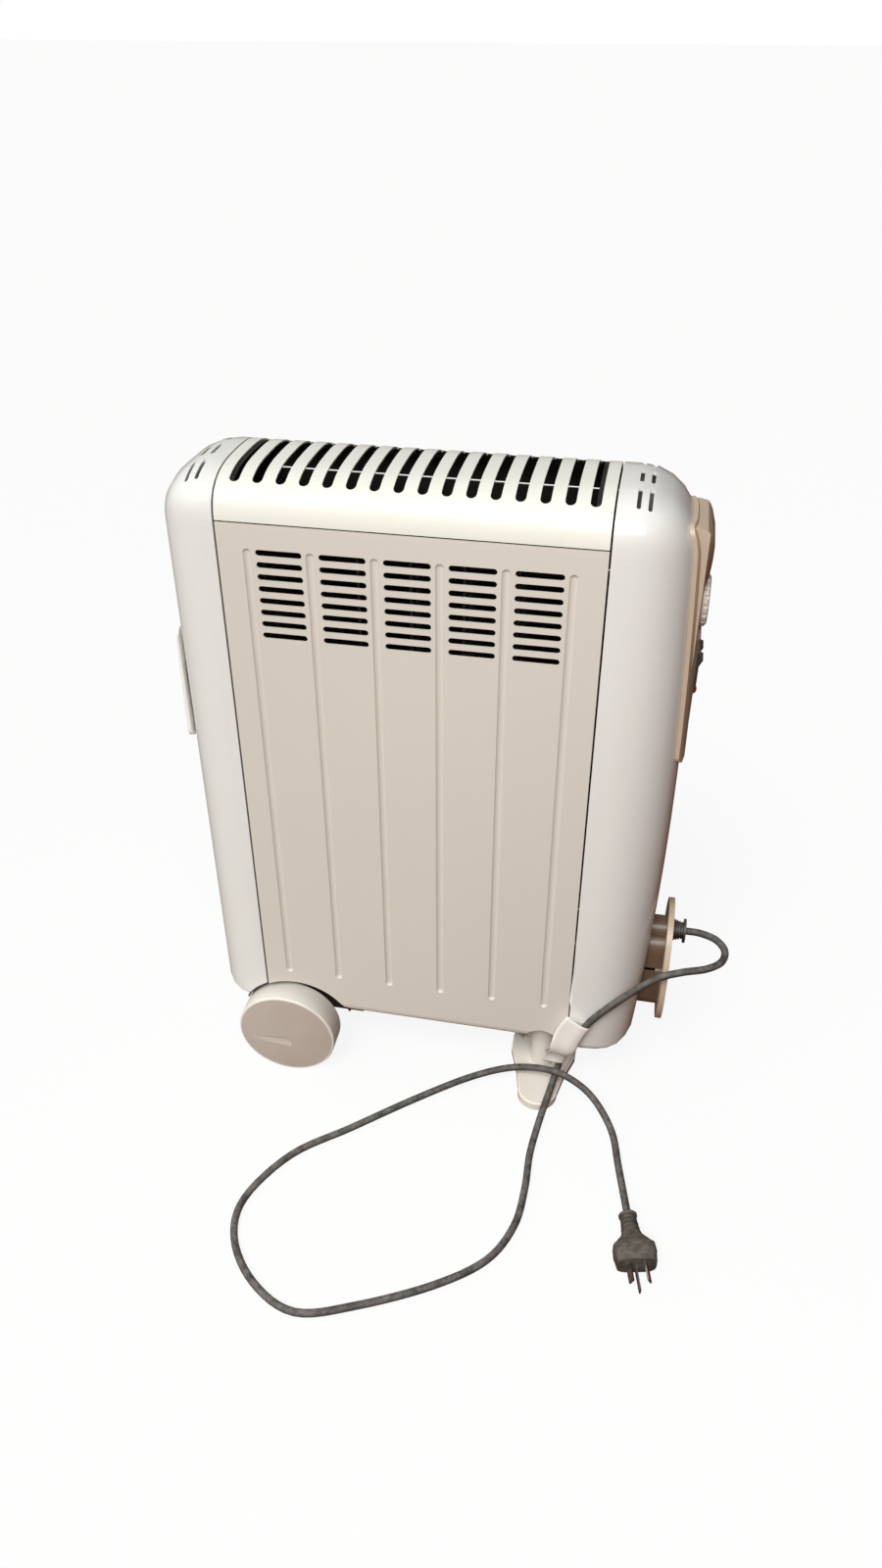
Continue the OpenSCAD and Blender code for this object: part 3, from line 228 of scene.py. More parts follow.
scuff_group, gin, gout = new_group("scuffs", [("Scale", "Float", 22.0), ("Share", "Float", 0.3)],
                                   [("Mask", "Float")])
here = put(scuff_group, "TexCoord").outputs["Object"]
bent = put(scuff_group, "Mapping", Vector=here, Rotation=SCUFF_SLANT, Scale=SCUFF_STRETCH).outputs[0]
cells = put(scuff_group, "TexVoronoi", {"feature": "F1"}, Vector=bent, Scale=gin["Scale"], Randomness=1.0)
ragged = put(scuff_group, "TexNoise", Vector=here, Scale=260.0, Detail=3.0).outputs[0]
near = sums(scuff_group, "MULTIPLY_ADD", ragged, RAGGED, cells.outputs["Distance"])
mark = sums(scuff_group, "SUBTRACT", 1.0, window(scuff_group, near, *SCUFF_EDGE))
lucky = put(scuff_group, "SeparateColor", Color=cells.outputs["Color"]).outputs[0]
few = sums(scuff_group, "LESS_THAN", lucky, gin["Share"])
scuff_group.links.new(sums(scuff_group, "MULTIPLY", mark, few), gout["Mask"])
print("groups:", len(bpy.data.node_groups))

# %% Settled dust and worn edges
LOOKS_UP = (-0.1, 0.9)  # upward part of a face's direction, from bare to fully dusty
CONVEX = (0.52, 0.6)  # pointiness, from flat to a corner that rubs through

dust_group, gin, gout = new_group("settled_dust", [("Amount", "Float", 0.3), ("Scale", "Float", 60.0)],
                                  [("Mask", "Float")])
here = put(dust_group, "TexCoord").outputs["Object"]
upward = put(dust_group, "SeparateXYZ", Vector=put(dust_group, "NewGeometry").outputs["Normal"]).outputs[2]
patches = put(dust_group, "TexNoise", Vector=here, Scale=gin["Scale"], Detail=6.0, Roughness=0.7).outputs[0]
lying = sums(dust_group, "MULTIPLY", window(dust_group, upward, *LOOKS_UP), window(dust_group, patches, 0.35, 0.7))
dust_group.links.new(sums(dust_group, "MULTIPLY", lying, gin["Amount"]), gout["Mask"])

edge_group, gin, gout = new_group("worn_edges", [("Amount", "Float", 0.3)], [("Mask", "Float")])
sharp = put(edge_group, "NewGeometry").outputs["Pointiness"]
here = put(edge_group, "TexCoord").outputs["Object"]
broken = put(edge_group, "TexNoise", Vector=here, Scale=45.0, Detail=4.0).outputs[0]
rubbed = sums(edge_group, "MULTIPLY", window(edge_group, sharp, *CONVEX), window(edge_group, broken, 0.3, 0.6))
edge_group.links.new(sums(edge_group, "MULTIPLY", rubbed, gin["Amount"]), gout["Mask"])
print("groups:", len(bpy.data.node_groups))

# %% Inner side, painted shade
LOOKS_IN = -0.03  # a face's depth from the casing's middle times its direction, below which it looks inward
LOOKS_DOWN = -0.3  # upward part of a face's direction

inner_shade_group, gin, gout = new_group("inner_side_shade", [("Roof", "Float", 0.59)], [("Mask", "Float")])
face = put(inner_shade_group, "NewGeometry").outputs
_, place_y, place_z = put(inner_shade_group, "SeparateXYZ", Vector=face["Position"]).outputs
_, facing_y, facing_z = put(inner_shade_group, "SeparateXYZ", Vector=face["Normal"]).outputs
outward = sums(inner_shade_group, "MULTIPLY", place_y, facing_y)
walls = sums(inner_shade_group, "LESS_THAN", outward, LOOKS_IN)
downward = sums(inner_shade_group, "LESS_THAN", facing_z, LOOKS_DOWN)
high = sums(inner_shade_group, "GREATER_THAN", place_z, gin["Roof"])
ceiling = sums(inner_shade_group, "MULTIPLY", downward, high)
inner_shade_group.links.new(sums(inner_shade_group, "MAXIMUM", walls, ceiling), gout["Mask"])
print("groups:", [g.name for g in bpy.data.node_groups])

# %% [markdown]
# ## One recipe for every hard finish
#
# Paint, plastic and metal differ in numbers, not in kind, so one recipe makes them all: a base tone with drift, then
# scuffs, dust and worn edges over it, a roughness that the dust raises, and a bump from the grain. Values that are
# the same all over the surface are set straight on the shader. Each finish could have a node tree of its own, but
# then a better scuff would have to be drawn nearly thirty times.


# %% Finish recipe
FINISHES = {}
SCUFF_DEPTH = 0.6  # share of a scuff's own colour at its middle
DUST_DULLS = 0.4  # added roughness under full dust
BUMP_HEIGHT = 0.001  # metres


def finish(name, colour, other, rough=0.4, drift=(5.0, 0.5), grain=(900.0, 0.4, 0.02), scuffs=(22.0, 0.0),
           scuff_colour=(120, 105, 95), dust=(0.1, 60.0), dust_colour=(176, 166, 154), edge=0.0,
           edge_colour=(250, 248, 244), rough_drift=0.1, inside=None, **plain):
    """Makes a finish from two close tones, with colours from 0 to 255. drift and scuffs are (scale, amount), dust is
    (amount, scale) and grain is (scale, broad waves, strength). plain are constant sockets of the shader."""
    material = bpy.data.materials.new(name)
    material.use_nodes = True
    tree = material.node_tree
    tree.nodes.clear()
    shader = put(tree, "BsdfPrincipled", **plain)
    drifted = put(tree, "Group", {"node_tree": drift_group}, Colour=linear(*colour), Other=linear(*other),
                  Scale=drift[0], Amount=drift[1])
    tone = drifted.outputs["Colour"]
    rubs = put(tree, "Group", {"node_tree": scuff_group}, Scale=scuffs[0], Share=scuffs[1]).outputs[0]
    tone = blend(tree, sums(tree, "MULTIPLY", rubs, SCUFF_DEPTH), tone, linear(*scuff_colour))
    if edge:
        worn = put(tree, "Group", {"node_tree": edge_group}, Amount=edge).outputs[0]
        tone = blend(tree, worn, tone, linear(*edge_colour))
    grey = put(tree, "Group", {"node_tree": dust_group}, Amount=dust[0], Scale=dust[1]).outputs[0]
    tone = blend(tree, grey, tone, linear(*dust_colour))
    # painted shade: faces that look into the casing are darkened towards the given colour
    if inside:
        inner = put(tree, "Group", {"node_tree": inner_shade_group}).outputs[0]
        tone = blend(tree, inner, tone, linear(*inside))
    tree.links.new(tone, shader.inputs["Base Color"])
    dull = sums(tree, "MULTIPLY_ADD", drifted.outputs["Mask"], rough_drift, rough - rough_drift / 2)
    dull = sums(tree, "MULTIPLY_ADD", grey, DUST_DULLS, dull)
    tree.links.new(dull, shader.inputs["Roughness"])
    height = put(tree, "Group", {"node_tree": grain_group}, Scale=grain[0], Broad=grain[1]).outputs[0]
    bump = put(tree, "Bump", Strength=grain[2], Distance=BUMP_HEIGHT, Height=height)
    tree.links.new(bump.outputs[0], shader.inputs["Normal"])
    tree.links.new(shader.outputs[0], put(tree, "OutputMaterial").inputs["Surface"])
    FINISHES[name] = material
    return material


print("recipe ready")

# %% [markdown]
# ## The casing's whites
#
# The casing is three different whites. The moulded caps are a cool, glossy plastic, the grille on top is a slightly
# creamier enamel, and the flat front and back are a warm off-white paint that has gone a little dull. The grip is
# moulded like the caps but matter, from hands. One white for all of them would be quicker, and would look cast.

# %% Casing finishes
# painted shade for the sheet's inner side, over its bare, grimy steel
PAINTED_INNER_SHADE = (42, 38, 35)  # the inner side of painted sheet

finish("panel_paint", (224, 219, 208), (220, 211, 204), rough=0.4, drift=(1.6, 0.45), grain=(420.0, 0.5, 0.03),
       scuffs=(9.0, 0.07), dust=(0.04, 25.0), inside=PAINTED_INNER_SHADE, Coat_Weight=0.12, Coat_Roughness=0.25)
finish("grille_paint", (243, 243, 234), (238, 236, 225), rough=0.34, drift=(4.0, 0.4), grain=(420.0, 0.5, 0.03),
       scuffs=(16.0, 0.1), dust=(0.05, 40.0), inside=PAINTED_INNER_SHADE, Coat_Weight=0.15, Coat_Roughness=0.2)
finish("cap_gloss", (240, 241, 237), (233, 233, 229), rough=0.2, drift=(3.0, 0.4), grain=(700.0, 0.3, 0.01),
       scuffs=(12.0, 0.09), dust=(0.03, 50.0), Coat_Weight=0.5, Coat_Roughness=0.07)
finish("grip_gloss", (248, 247, 243), (243, 241, 236), rough=0.3, grain=(700.0, 0.3, 0.02), scuffs=(30.0, 0.12),
       dust=(0.1, 50.0), Coat_Weight=0.2, Coat_Roughness=0.15)
print("casing finishes:", list(FINISHES))

# %% [markdown]
# ## Plastics, metals and rubber
#
# The wheels, foot and controls are matter plastics, from near white to beige, and the cord wrap is a darker brown, as
# painted shade. Inside are plated and painted steel, brass and pale heat-proof mouldings, all dusty, because air is
# drawn through the casing all winter. The radiator, the bulkheads, heat shield and base tray, the dark steel round the
# foot and the wheel arch's liner are near black as painted shade, so that slots and gaps look dark, and the dust on
# them is darkened the same way. They could share one grey, but what shows through the slots should look like metal.

# %% Other finishes
RUBBED_BLACK = (96, 92, 88)  # black plastic where its corners are rubbed
# painted shade: dust darkened for where it lies in the dark
SHADED_INNER_DUST = (90, 84, 78)  # dust that lies in the dark

finish("wheel_moulding", (244, 240, 232), (234, 227, 216), rough=0.42, drift=(14.0, 0.6), grain=(1100.0, 0.3, 0.04),
       scuffs=(36.0, 0.12), dust=(0.03, 70.0))
finish("cover_moulding", (196, 186, 175), (184, 171, 158), rough=0.36, drift=(14.0, 0.6), grain=(1100.0, 0.3, 0.04),
       scuffs=(36.0, 0.12), dust=(0.05, 70.0), Coat_Weight=0.2, Coat_Roughness=0.2)
# painted shade: a darker brown copy of the control beige, for the cord hub that sits in shade
finish("wrap_painted_shade", (112, 90, 74), (94, 74, 60), rough=0.34, grain=(1100.0, 0.3, 0.03), scuffs=(40.0, 0.1),
       dust=(0.05, 70.0))
finish("foot_moulding", (247, 243, 234), (240, 233, 220), rough=0.42, drift=(14.0, 0.6), grain=(1100.0, 0.3, 0.04),
       scuffs=(36.0, 0.12), dust=(0.02, 70.0))
finish("control_moulding", (206, 188, 166), (192, 170, 148), rough=0.34, grain=(1100.0, 0.3, 0.03),
       scuffs=(40.0, 0.1), dust=(0.08, 70.0))
finish("dial_moulding", (226, 221, 212), (216, 210, 200), rough=0.35, grain=(1100.0, 0.3, 0.04), dust=(0.1, 90.0))
finish("black_moulding", (38, 36, 35), (50, 46, 43), rough=0.45, grain=(1100.0, 0.3, 0.06), dust=(0.25, 90.0),
       edge=0.3, edge_colour=RUBBED_BLACK)
finish("rocker_moulding", (46, 42, 40), (58, 52, 48), rough=0.3, grain=(1100.0, 0.2, 0.03), dust=(0.2, 90.0),
       edge=0.3, edge_colour=RUBBED_BLACK)
finish("heatproof_moulding", (206, 198, 182), (190, 180, 160), rough=0.6, grain=(800.0, 0.3, 0.06),
       dust=(0.5, 60.0))
# painted shade: the wheel arch's liner is near-black brown, where shade fills the arch
finish("arch_liner_painted_shade", (58, 46, 38), (70, 56, 46), rough=0.6, grain=(900.0, 0.3, 0.08), dust=(0.2, 50.0))
finish("zinc", (150, 150, 148), (120, 120, 117), rough=0.42, drift=(40.0, 0.8), grain=(300.0, 0.3, 0.04),
       dust=(0.3, 50.0), Metallic=0.9)
# painted shade: near-black zinc for the bulkheads, heat shield and base tray, so that seams and slots look dark
finish("frame_zinc_painted_shade", (44, 40, 38), (30, 27, 26), rough=0.6, drift=(40.0, 0.8), dust=(0.1, 50.0),
       dust_colour=SHADED_INNER_DUST, Metallic=0.4)
# painted shade: the dark steel round the foot is near black so that the foot's notch looks dark; rubbed edges are wear
finish("dark_steel_painted_shade", (62, 58, 55), (78, 70, 64), rough=0.5, drift=(20.0, 0.7), dust=(0.5, 60.0), edge=0.5,
       edge_colour=(130, 124, 118), Metallic=0.4)
finish("bright_steel_plate", (196, 196, 194), (168, 168, 164), rough=0.28, drift=(60.0, 0.6), dust=(0.2, 90.0),
       Metallic=1.0)
# painted shade: the radiator fins are near black so that the grille's slots look dark
finish("radiator_painted_shade", (46, 43, 41), (34, 32, 31), rough=0.55, drift=(12.0, 0.7), dust=(0.25, 45.0),
       dust_colour=SHADED_INNER_DUST, Metallic=0.2)
finish("brass", (196, 164, 98), (168, 136, 78), rough=0.3, drift=(60.0, 0.7), dust=(0.1, 90.0), Metallic=1.0)
finish("element_sheath", (120, 112, 104), (96, 84, 74), rough=0.4, drift=(40.0, 0.8), dust=(0.2, 60.0), Metallic=0.9)
finish("pad_rubber_skin", (44, 43, 42), (60, 57, 54), rough=0.75, grain=(600.0, 0.4, 0.15), dust=(0.4, 60.0))
finish("lead_skin", (150, 120, 96), (196, 184, 160), rough=0.5, drift=(90.0, 0.9), dust=(0.4, 70.0))
finish("lens_skin", (206, 96, 60), (190, 80, 48), rough=0.12, drift=(80.0, 0.3), dust=(0.05, 90.0),
       Transmission_Weight=0.6, IOR=1.49)
print("finishes:", len(FINISHES))

# %% [markdown]
# ## Old rubber
#
# The lead has been pulled over floors for years. Its rubber is dark grey, with pale rubs close together and dust that
# clings in patches. The recipe makes it too, with a pale scuff colour, a fine scale and a large share. The rubs could
# follow the lead by its own coordinates, but they are so small that plain object space looks the same.

# %% Rubber finish
rubber = finish("cord_skin", (58, 56, 54), (84, 81, 78), rough=0.6, drift=(55.0, 0.9), grain=(900.0, 0.6, 0.25),
                scuffs=(150.0, 0.35), scuff_colour=(150, 146, 140), dust=(0.55, 120.0),
                dust_colour=(150, 145, 138), rough_drift=0.2)
cord_data.materials.append(rubber)
print("rubber on the cord")

# %% [markdown]
# ## Which solid gets which finish
#
# The solids carry the material slots of the record. Each slot gets one finish here, assigned to the object's
# material slots, so the meshes stay as they are. Every solid could be dressed by hand, but a table from slot to
# finish also reaches the pieces at the back and inside. The few that look unlike the rest of their slot are named.

# %% Dress the solids
FINISH_OF = {
    "warm_white_steel": "panel_paint", "grille_steel": "grille_paint", "cap_white": "cap_gloss",
    "grip_white": "grip_gloss", "beige_plastic": "control_moulding", "wheel_plastic": "wheel_moulding",
    "knob_plastic": "dial_moulding", "dark_plastic": "black_moulding", "rocker_plastic": "rocker_moulding",
    "lens_plastic": "lens_skin", "pale_plastic": "heatproof_moulding", "zinc_steel": "zinc",
    "dark_steel": "dark_steel_painted_shade", "arch_plastic": "arch_liner_painted_shade", "bright_steel": "bright_steel_plate",
    "radiator_steel": "radiator_painted_shade", "brass_fitting": "brass", "sheath_steel": "element_sheath",
    "cord_rubber": "cord_skin", "pad_rubber": "pad_rubber_skin", "lead_sleeve": "lead_skin",
    "tag_paper": "heatproof_moulding",
}
# painted shade: the bulkheads, heat shield and base tray get near-black zinc
OWN_FINISH = {"left_bulkhead": "frame_zinc_painted_shade", "right_bulkhead": "frame_zinc_painted_shade", "heat_shield": "frame_zinc_painted_shade",
              "base_tray": "frame_zinc_painted_shade", "foot": "foot_moulding", "plug_pins": "bright_steel_plate",
              # painted shade: the cord hub gets a darker brown
              "wheel_cover_front": "cover_moulding", "wheel_cover_rear": "cover_moulding", "cord_hub": "wrap_painted_shade"}
for name, solid in nodes.items():
    for place in solid.material_slots:
        place.material = FINISHES[OWN_FINISH.get(name, FINISH_OF[place.material.name.split(".")[0]])]
print("dressed", len(nodes), "solids")

# %% [markdown]
# ## Rounded forms look round
#
# The solids arrive as flat facets, and a glossy cap would show every one of them. A small node tree joins the facets'
# corners, lets the shading run over every edge flatter than 30 degrees and keeps the rest sharp. A Weighted Normal
# modifier then gives large faces the last word, so that flat sheet stays flat beside its rolled edge. The Data
# Transfer modifier could borrow normals from a finer form, but then each form would need a twin.

# %% Smooth shading
SMOOTH_ANGLE = 30  # degrees
JOIN = 0.00002  # metres between corners that are joined
FLAT_WEIGHT = 60  # how much large faces outweigh small ones, from 1 to 100

smoothing = bpy.data.node_groups.new("smooth_by_angle", "GeometryNodeTree")
smoothing.interface.new_socket("Mesh", in_out="INPUT", socket_type="NodeSocketGeometry")
smoothing.interface.new_socket("Mesh", in_out="OUTPUT", socket_type="NodeSocketGeometry")
arriving = smoothing.nodes.new("NodeGroupInput").outputs[0]
joined = put(smoothing, "GeometryNodeMergeByDistance", Geometry=arriving, Distance=JOIN).outputs[0]
bend = put(smoothing, "GeometryNodeInputMeshEdgeAngle").outputs["Unsigned Angle"]
steep = put(smoothing, "FunctionNodeCompare", {"operation": "GREATER_THAN"}, _0=bend,
            _1=math.radians(SMOOTH_ANGLE)).outputs[0]
shaded = put(smoothing, "GeometryNodeSetMeshNormal", {"mode": "SHARPNESS"}, Mesh=joined, Remove_Custom=True,
             Edge_Sharpness=steep, Face_Sharpness=False).outputs[0]
smoothing.links.new(shaded, smoothing.nodes.new("NodeGroupOutput").inputs[0])


def soften(piece):
    """Smooth shading by angle, with large faces staying flat."""
    piece.modifiers.new("smooth", "NODES").node_group = smoothing
    weighted = piece.modifiers.new("weighted", "WEIGHTED_NORMAL")
    weighted.keep_sharp = True
    weighted.weight = FLAT_WEIGHT


for solid in nodes.values():
    soften(solid)
print("softened", len(nodes), "solids")

# %% [markdown]
# ## The folded tag
#
# A strip of stiff paper is wrapped round the lead, with its two long ends laid against each other as a fin. It could
# be draped with Cloth, but stiff paper hardly drapes: a section carried along the lead, with the free edges curling
# a little, is closer and quicker.


# %% Sweep
def carried_frames(line, side):
    """A heading and a side direction for every point of a line, turned as little as can be from one to the next."""
    frames = []
    for i, place in enumerate(line):
        heading = (line[min(i + 1, len(line) - 1)] - line[max(i - 1, 0)]).normalized()
        side = (side - heading * side.dot(heading)).normalized()
        frames.append((place, heading, side, heading.cross(side)))
    return frames


def new_piece(name, verts, faces, material, body):
    """A smooth mesh piece that rides on a body."""
    mesh = bpy.data.meshes.new(name)
    mesh.from_pydata([tuple(v) for v in verts], [], faces)
    mesh.validate()
    mesh.polygons.foreach_set("use_smooth", [True] * len(mesh.polygons))
    piece = bpy.data.objects.new(name, mesh)
    scene.collection.objects.link(piece)
    mesh.materials.append(material)
    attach(piece, body)
    return piece


print("sweep ready")

# %% Tag section
TAG_STEPS = 8  # drawn points from one route point to the next
TAG_SPAN = slice(82, 114)  # the part of the lead that the paper wraps
FIN_WAY = Vector((-1, -0.25, 0))
around = CORD_D / 2 + 0.0005  # the paper's own radius where it is wrapped
tag_frames = carried_frames(smooth_line(CORD_ROUTE, TAG_STEPS)[TAG_SPAN], FIN_WAY)
section = [(0.0225, 0.0011), (0.0205, 0.0013), (0.0175, 0.0016), (0.0140, 0.0021), (0.0105, 0.0028),
           (0.0070, 0.0036), (0.0040, around)]
section += [(around * math.cos(math.radians(a)), around * math.sin(math.radians(a))) for a in range(90, 271, 20)]
section += [(0.0040, -around), (0.0070, -0.0034), (0.0105, -0.0024), (0.0140, -0.0016), (0.0175, -0.0011),
            (0.0205, -0.0008), (0.0216, -0.0006)]
print("tag section points", len(section))

# %% Tag
FIN_START, FIN_WIDTH = 0.004, 0.018  # from the lead's middle to the fin, and from there to its edge
BEND, RIPPLE = 0.0016, 0.0007  # how far the fin's edge curls, as one long wave and as small ones
FLARE = 0.003  # how much longer the fin is at its edge than at the lead
REACH, TAPER = 1.02, 0.2  # the fin's reach at one end, and the share of it that is gone at the other
PAPER = 0.0003

tag_verts = []
for i, (place, heading, side, up) in enumerate(tag_frames):
    along = i / (len(tag_frames) - 1)
    for k, (out, off) in enumerate(section):
        far = max(0.0, out - FIN_START) / FIN_WIDTH
        curl = BEND * far * far * math.sin(along * 5.2 + 0.6) + RIPPLE * far * math.sin(along * 11 + k * 0.3)
        slant = (along - 0.5) * FLARE * far
        tag_verts.append(place + side * out * (REACH - TAPER * far * along * along) + up * (off + curl)
                         + heading * slant)
count = len(section)
tag_faces = [(i * count + k, i * count + k + 1, (i + 1) * count + k + 1, (i + 1) * count + k)
             for i in range(len(tag_frames) - 1) for k in range(count - 1)]
paper = finish("tag_paper_skin", (253, 251, 246), (248, 243, 232), rough=0.7, drift=(30.0, 0.7),
               grain=(500.0, 0.8, 0.12), scuffs=(60.0, 0.12), scuff_colour=(214, 200, 172), dust=(0.02, 60.0),
               Sheen_Weight=0.1)
tag = new_piece("paper_tag", tag_verts, tag_faces, paper, "heater_base")
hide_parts("cord_tag")
thick = tag.modifiers.new("paper", "SOLIDIFY")
thick.thickness = PAPER
thick.offset = 1
print("tag faces", len(tag_faces))

# %% [markdown]
# ## The plug
#
# The plug is one moulding: a collar, three rings that let it bend, a neck, and a body with sharp shoulders. A stack of
# rounded sections along one axis draws all of it. A lathe would do for the boot, but not for the flat body.

# %% Plug sections
PLUG_SECTIONS = [  # millimetres from the cord's end, half width, half height, squareness
    (0, 4, 4, 2), (0.3, 7.8, 7.8, 2), (1, 8.6, 8.6, 2), (2.6, 8.6, 8.6, 2), (3.2, 8, 8, 2), (3.4, 6.2, 6.2, 2),
    (5, 6.2, 6.2, 2), (5.3, 7.4, 7.4, 2), (7.4, 7.8, 7.8, 2), (7.7, 6.3, 6.3, 2), (9.4, 6.3, 6.3, 2),
    (9.7, 7.8, 7.8, 2), (11.8, 8.2, 8.2, 2), (12.1, 6.6, 6.6, 2), (13.8, 6.6, 6.6, 2), (14.1, 8.2, 8.2, 2),
    (16.4, 8.6, 8.6, 2), (16.7, 7.4, 7.4, 2), (18.2, 8.6, 8, 2.2), (25, 10.4, 9.2, 2.4), (25.5, 11.2, 9.8, 2.8),
    (33, 18, 11.4, 3.4), (34, 19, 12, 3.8), (42, 19.5, 12.4, 4), (42.6, 19.1, 12, 4), (51.2, 18, 11.4, 4),
    (52, 17, 10.4, 4)]
SIDES = 40
MILLIMETRES = 1000  # in a metre
last, before = smooth_line(CORD_ROUTE, 2)[:-3:-1]
axis = (last - before).normalized()
wide = axis.cross(Vector((0, 0, 1))).normalized()
high = wide.cross(axis)


def squared(value, power):
    """A sine or cosine, pushed out towards a square."""
    return math.copysign(abs(value) ** (2 / power), value)


print("plug sections", len(PLUG_SECTIONS))

# %% Plug
plug_verts = []
for along, half_w, half_h, power in PLUG_SECTIONS:
    for k in range(SIDES):
        turn = math.tau * k / SIDES
        plug_verts.append(last + (axis * along + wide * half_w * squared(math.cos(turn), power)
                                  + high * half_h * squared(math.sin(turn), power)) / MILLIMETRES)
plug_faces = [(i * SIDES + k, i * SIDES + (k + 1) % SIDES, (i + 1) * SIDES + (k + 1) % SIDES, (i + 1) * SIDES + k)
              for i in range(len(PLUG_SECTIONS) - 1) for k in range(SIDES)]
end = (len(PLUG_SECTIONS) - 1) * SIDES
plug_faces += [tuple(range(SIDES))[::-1], tuple(range(end, end + SIDES))]
plug_skin = finish("plug_skin", (92, 87, 80), (66, 62, 58), rough=0.5, drift=(120.0, 0.9), grain=(700.0, 0.6, 0.2),
                   scuffs=(200.0, 0.3), scuff_colour=(150, 144, 134), dust=(0.6, 160.0), dust_colour=(132, 124, 112))
plug = new_piece("moulded_plug", plug_verts, plug_faces, plug_skin, "heater_base")
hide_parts("plug_body")
soften(plug)
print("plug faces", len(plug_faces))

# %% [markdown]
# ## Fluff
#
# Years of rolling over carpets have left a tuft of fluff on the bracket that holds the foot. It is a bundle of hairs
# in one curve object: each hair is a short random walk that sags a little. A hair system would need a surface to
# grow from and would be far heavier.

# %% Fluff
HAIRS, HAIR_POINTS = 110, 7
HAIR_RADIUS = 0.00013
HAIR_STEP = (0.0011, 0.0026)  # shortest and longest step from one point of a hair to the next
TUFT = Vector((0.0975, -0.0425, 0.0765))  # the highest root
TUFT_WIDE, TUFT_HIGH = 0.004, 0.009
SAG = Vector((0, 0, -0.12))

chance = random.Random(7)
fluff_data = bpy.data.curves.new("fluff", "CURVE")
fluff_data.dimensions = "3D"
fluff_data.bevel_depth = FULL_BEVEL
fluff_data.bevel_resolution = 0
for hair in range(HAIRS):
    place = TUFT + Vector((chance.uniform(-TUFT_WIDE, 0), 0, -TUFT_HIGH * chance.random()))
    way = Vector((chance.gauss(-0.7, 0.5), chance.gauss(-0.5, 0.35), chance.gauss(-0.6, 0.6))).normalized()
    spline = fluff_data.splines.new("POLY")
    spline.points.add(HAIR_POINTS - 1)
    for point in spline.points:
        point.co = (*place, 1)
        point.radius = HAIR_RADIUS
        way = (way + Vector([chance.gauss(0, 0.55) for _ in range(3)]) + SAG).normalized()
        place = place + way * chance.uniform(*HAIR_STEP)
fluff = bpy.data.objects.new("fluff", fluff_data)
scene.collection.objects.link(fluff)
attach(fluff, "heater_base")
fluff_data.materials.append(finish("fluff_skin", (78, 72, 56), (58, 53, 42), rough=0.9, drift=(300.0, 0.8),
                                   dust=(0, 60)))
print("hairs", len(fluff_data.splines))

# %% [markdown]
# ## The cord's four pieces
#
# The lead, its tag, the plug and the plug's blades belong together, but this script leaves them as four pieces.

print("cord left as four pieces")

# %% [markdown]
# ## Floor and room
#
# The heater stands on a pale floor in a white room. What the camera sees of the floor is mostly a white of its own,
# which keeps the shadow but makes it gentle. What bounces up from it is warmer, and much darker on the right than on
# the left, and so is the light of the room, because the photograph's right sides are brown. Cards beside the heater
# would do the same, but they would have to be kept out of every view.

# %% Light Path helper
WHITE = (1, 1, 1, 1)


def straight_sight(tree):
    """1 for what the camera sees straight or through something clear, 0 for everything else."""
    rays = put(tree, "LightPath").outputs
    return sums(tree, "MAXIMUM", rays["Is Camera Ray"], rays["Is Transmission Ray"])


print("sight ready")

# %% Floor
FLOOR_SIZE, FLOOR_DROP = 60, 0.0002  # metres
OWN_LIGHT = 0.88  # share of the floor's white that is its own
TURNS_BROWN = (-0.2, 0.25)  # metres along the heater
FLOOR_SEEN, BOUNCE_LEFT, BOUNCE_RIGHT = linear(250, 249, 247), linear(176, 164, 154), linear(104, 54, 38)

bpy.ops.mesh.primitive_grid_add(x_subdivisions=4, y_subdivisions=4, size=FLOOR_SIZE, location=(0, 0, -FLOOR_DROP))
floor = bpy.context.object
floor.name = "floor"
floor_material = bpy.data.materials.new("floor_pale")
floor_material.use_nodes = True
tree = floor_material.node_tree
tree.nodes.clear()
seen = straight_sight(tree)
across = put(tree, "SeparateXYZ", Vector=put(tree, "NewGeometry").outputs["Position"]).outputs[0]
bounced = blend(tree, window(tree, across, *TURNS_BROWN), BOUNCE_LEFT, BOUNCE_RIGHT)
matt = put(tree, "BsdfDiffuse", Color=blend(tree, seen, bounced, FLOOR_SEEN))
own = put(tree, "Emission", Color=WHITE, Strength=1.0)
mixed = put(tree, "MixShader", _0=sums(tree, "MULTIPLY", seen, OWN_LIGHT), _1=matt.outputs[0], _2=own.outputs[0])
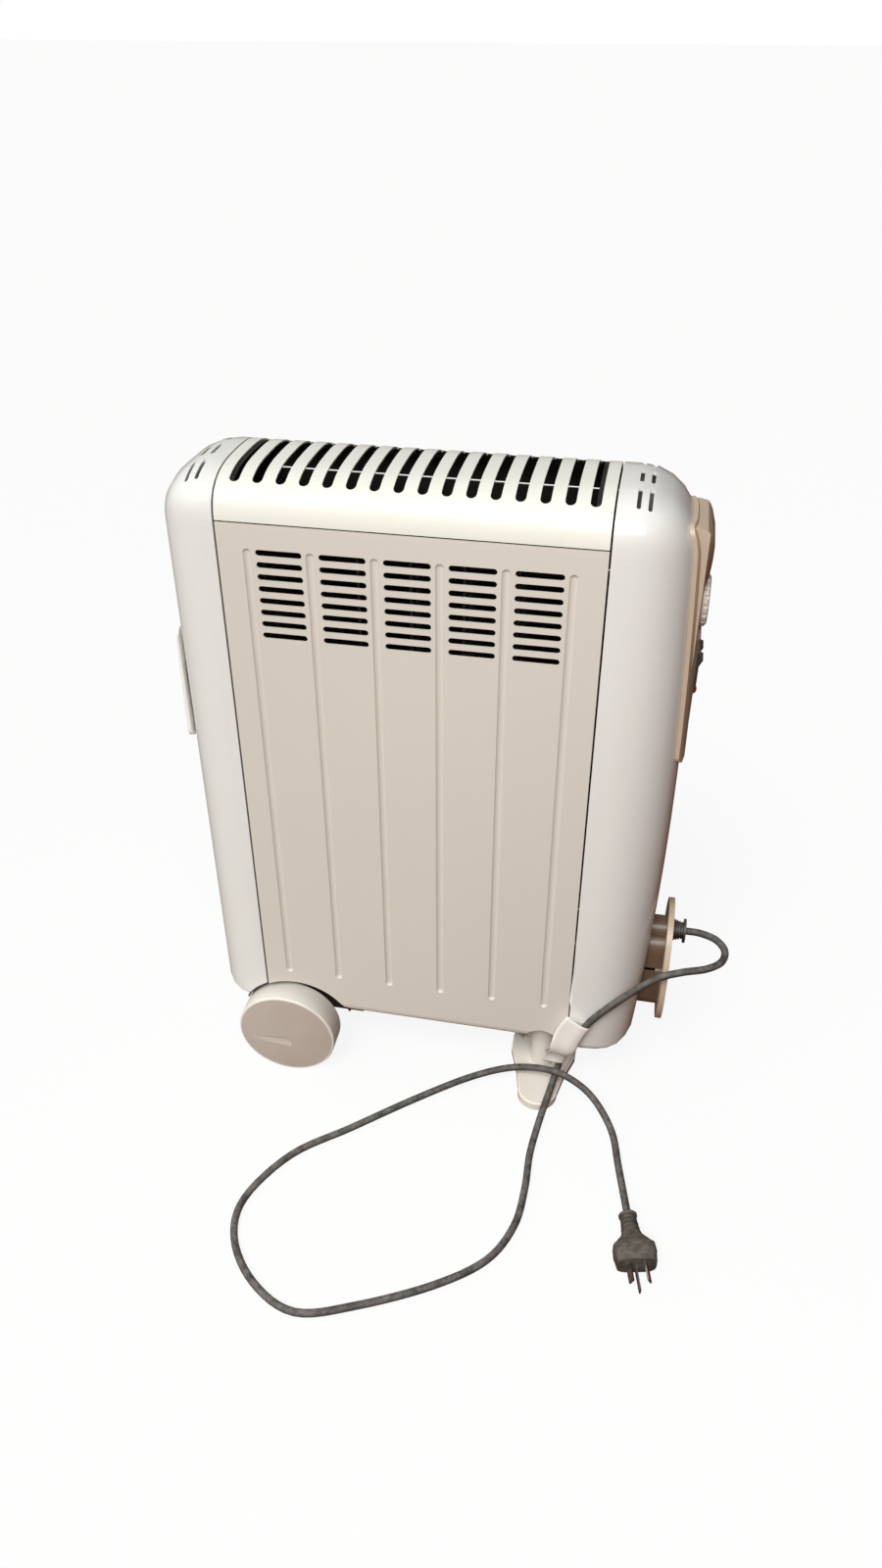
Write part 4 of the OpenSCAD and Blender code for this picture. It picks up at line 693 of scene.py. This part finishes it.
tree.links.new(mixed.outputs[0], put(tree, "OutputMaterial").inputs["Surface"])
floor.data.materials.append(floor_material)
print("floor ready")

# %% Room
ROOM_STRENGTH = 0.68
ROOM_DARKENS = (-0.8, 0.5)  # from far left to right, as a direction
ROOM_LEFT, ROOM_RIGHT = linear(250, 250, 250), linear(44, 26, 20)

world = bpy.data.worlds.new("studio")
scene.world = world
world.use_nodes = True
tree = world.node_tree
tree.nodes.clear()
towards = put(tree, "SeparateXYZ", Vector=put(tree, "TexCoord").outputs["Generated"]).outputs[0]
room = blend(tree, window(tree, towards, *ROOM_DARKENS), ROOM_LEFT, ROOM_RIGHT)
soft = put(tree, "Background", Color=room, Strength=ROOM_STRENGTH)
white = put(tree, "Background", Color=WHITE, Strength=1.0)
mixed = put(tree, "MixShader", _0=straight_sight(tree), _1=soft.outputs[0], _2=white.outputs[0])
tree.links.new(mixed.outputs[0], put(tree, "OutputWorld").inputs["Surface"])
print("room ready")

# %% [markdown]
# ## Lamps
#
# The main light falls from the upper left front. It is a wide sun, so that its shadow is soft and no pool of light
# shows on the floor. A weaker sun from further left fills the shadows, and a softbox at the right, above the camera,
# gives the glossy caps their long highlight. Area lamps alone could do all of it, but each would leave its own pool.


# %% Lamps
def lamp(name, kind, aim, energy, place=(0, 0, 3), **settings):
    """A lamp that shines along aim from place. settings are its own values."""
    data = bpy.data.lights.new(name, kind)
    data.energy = energy
    for key, value in settings.items():
        setattr(data, key, value)
    light = bpy.data.objects.new(name, data)
    light.location = place
    light.rotation_euler = Vector(aim).to_track_quat("-Z", "Y").to_euler()
    scene.collection.objects.link(light)


lamp("key_sun", "SUN", (0.2, 0.75, -1.0), 1.55, angle=math.radians(24), color=(1.0, 0.99, 0.975))
lamp("fill_sun", "SUN", (0.7, 0.6, -0.7), 0.25, angle=math.radians(40), color=(1.0, 0.99, 0.98))
lamp("softbox", "AREA", (-0.1, 1.0, -0.8), 10.5, place=(0.32, -1.2, 1.45), size=0.8, color=(1.0, 0.985, 0.97))
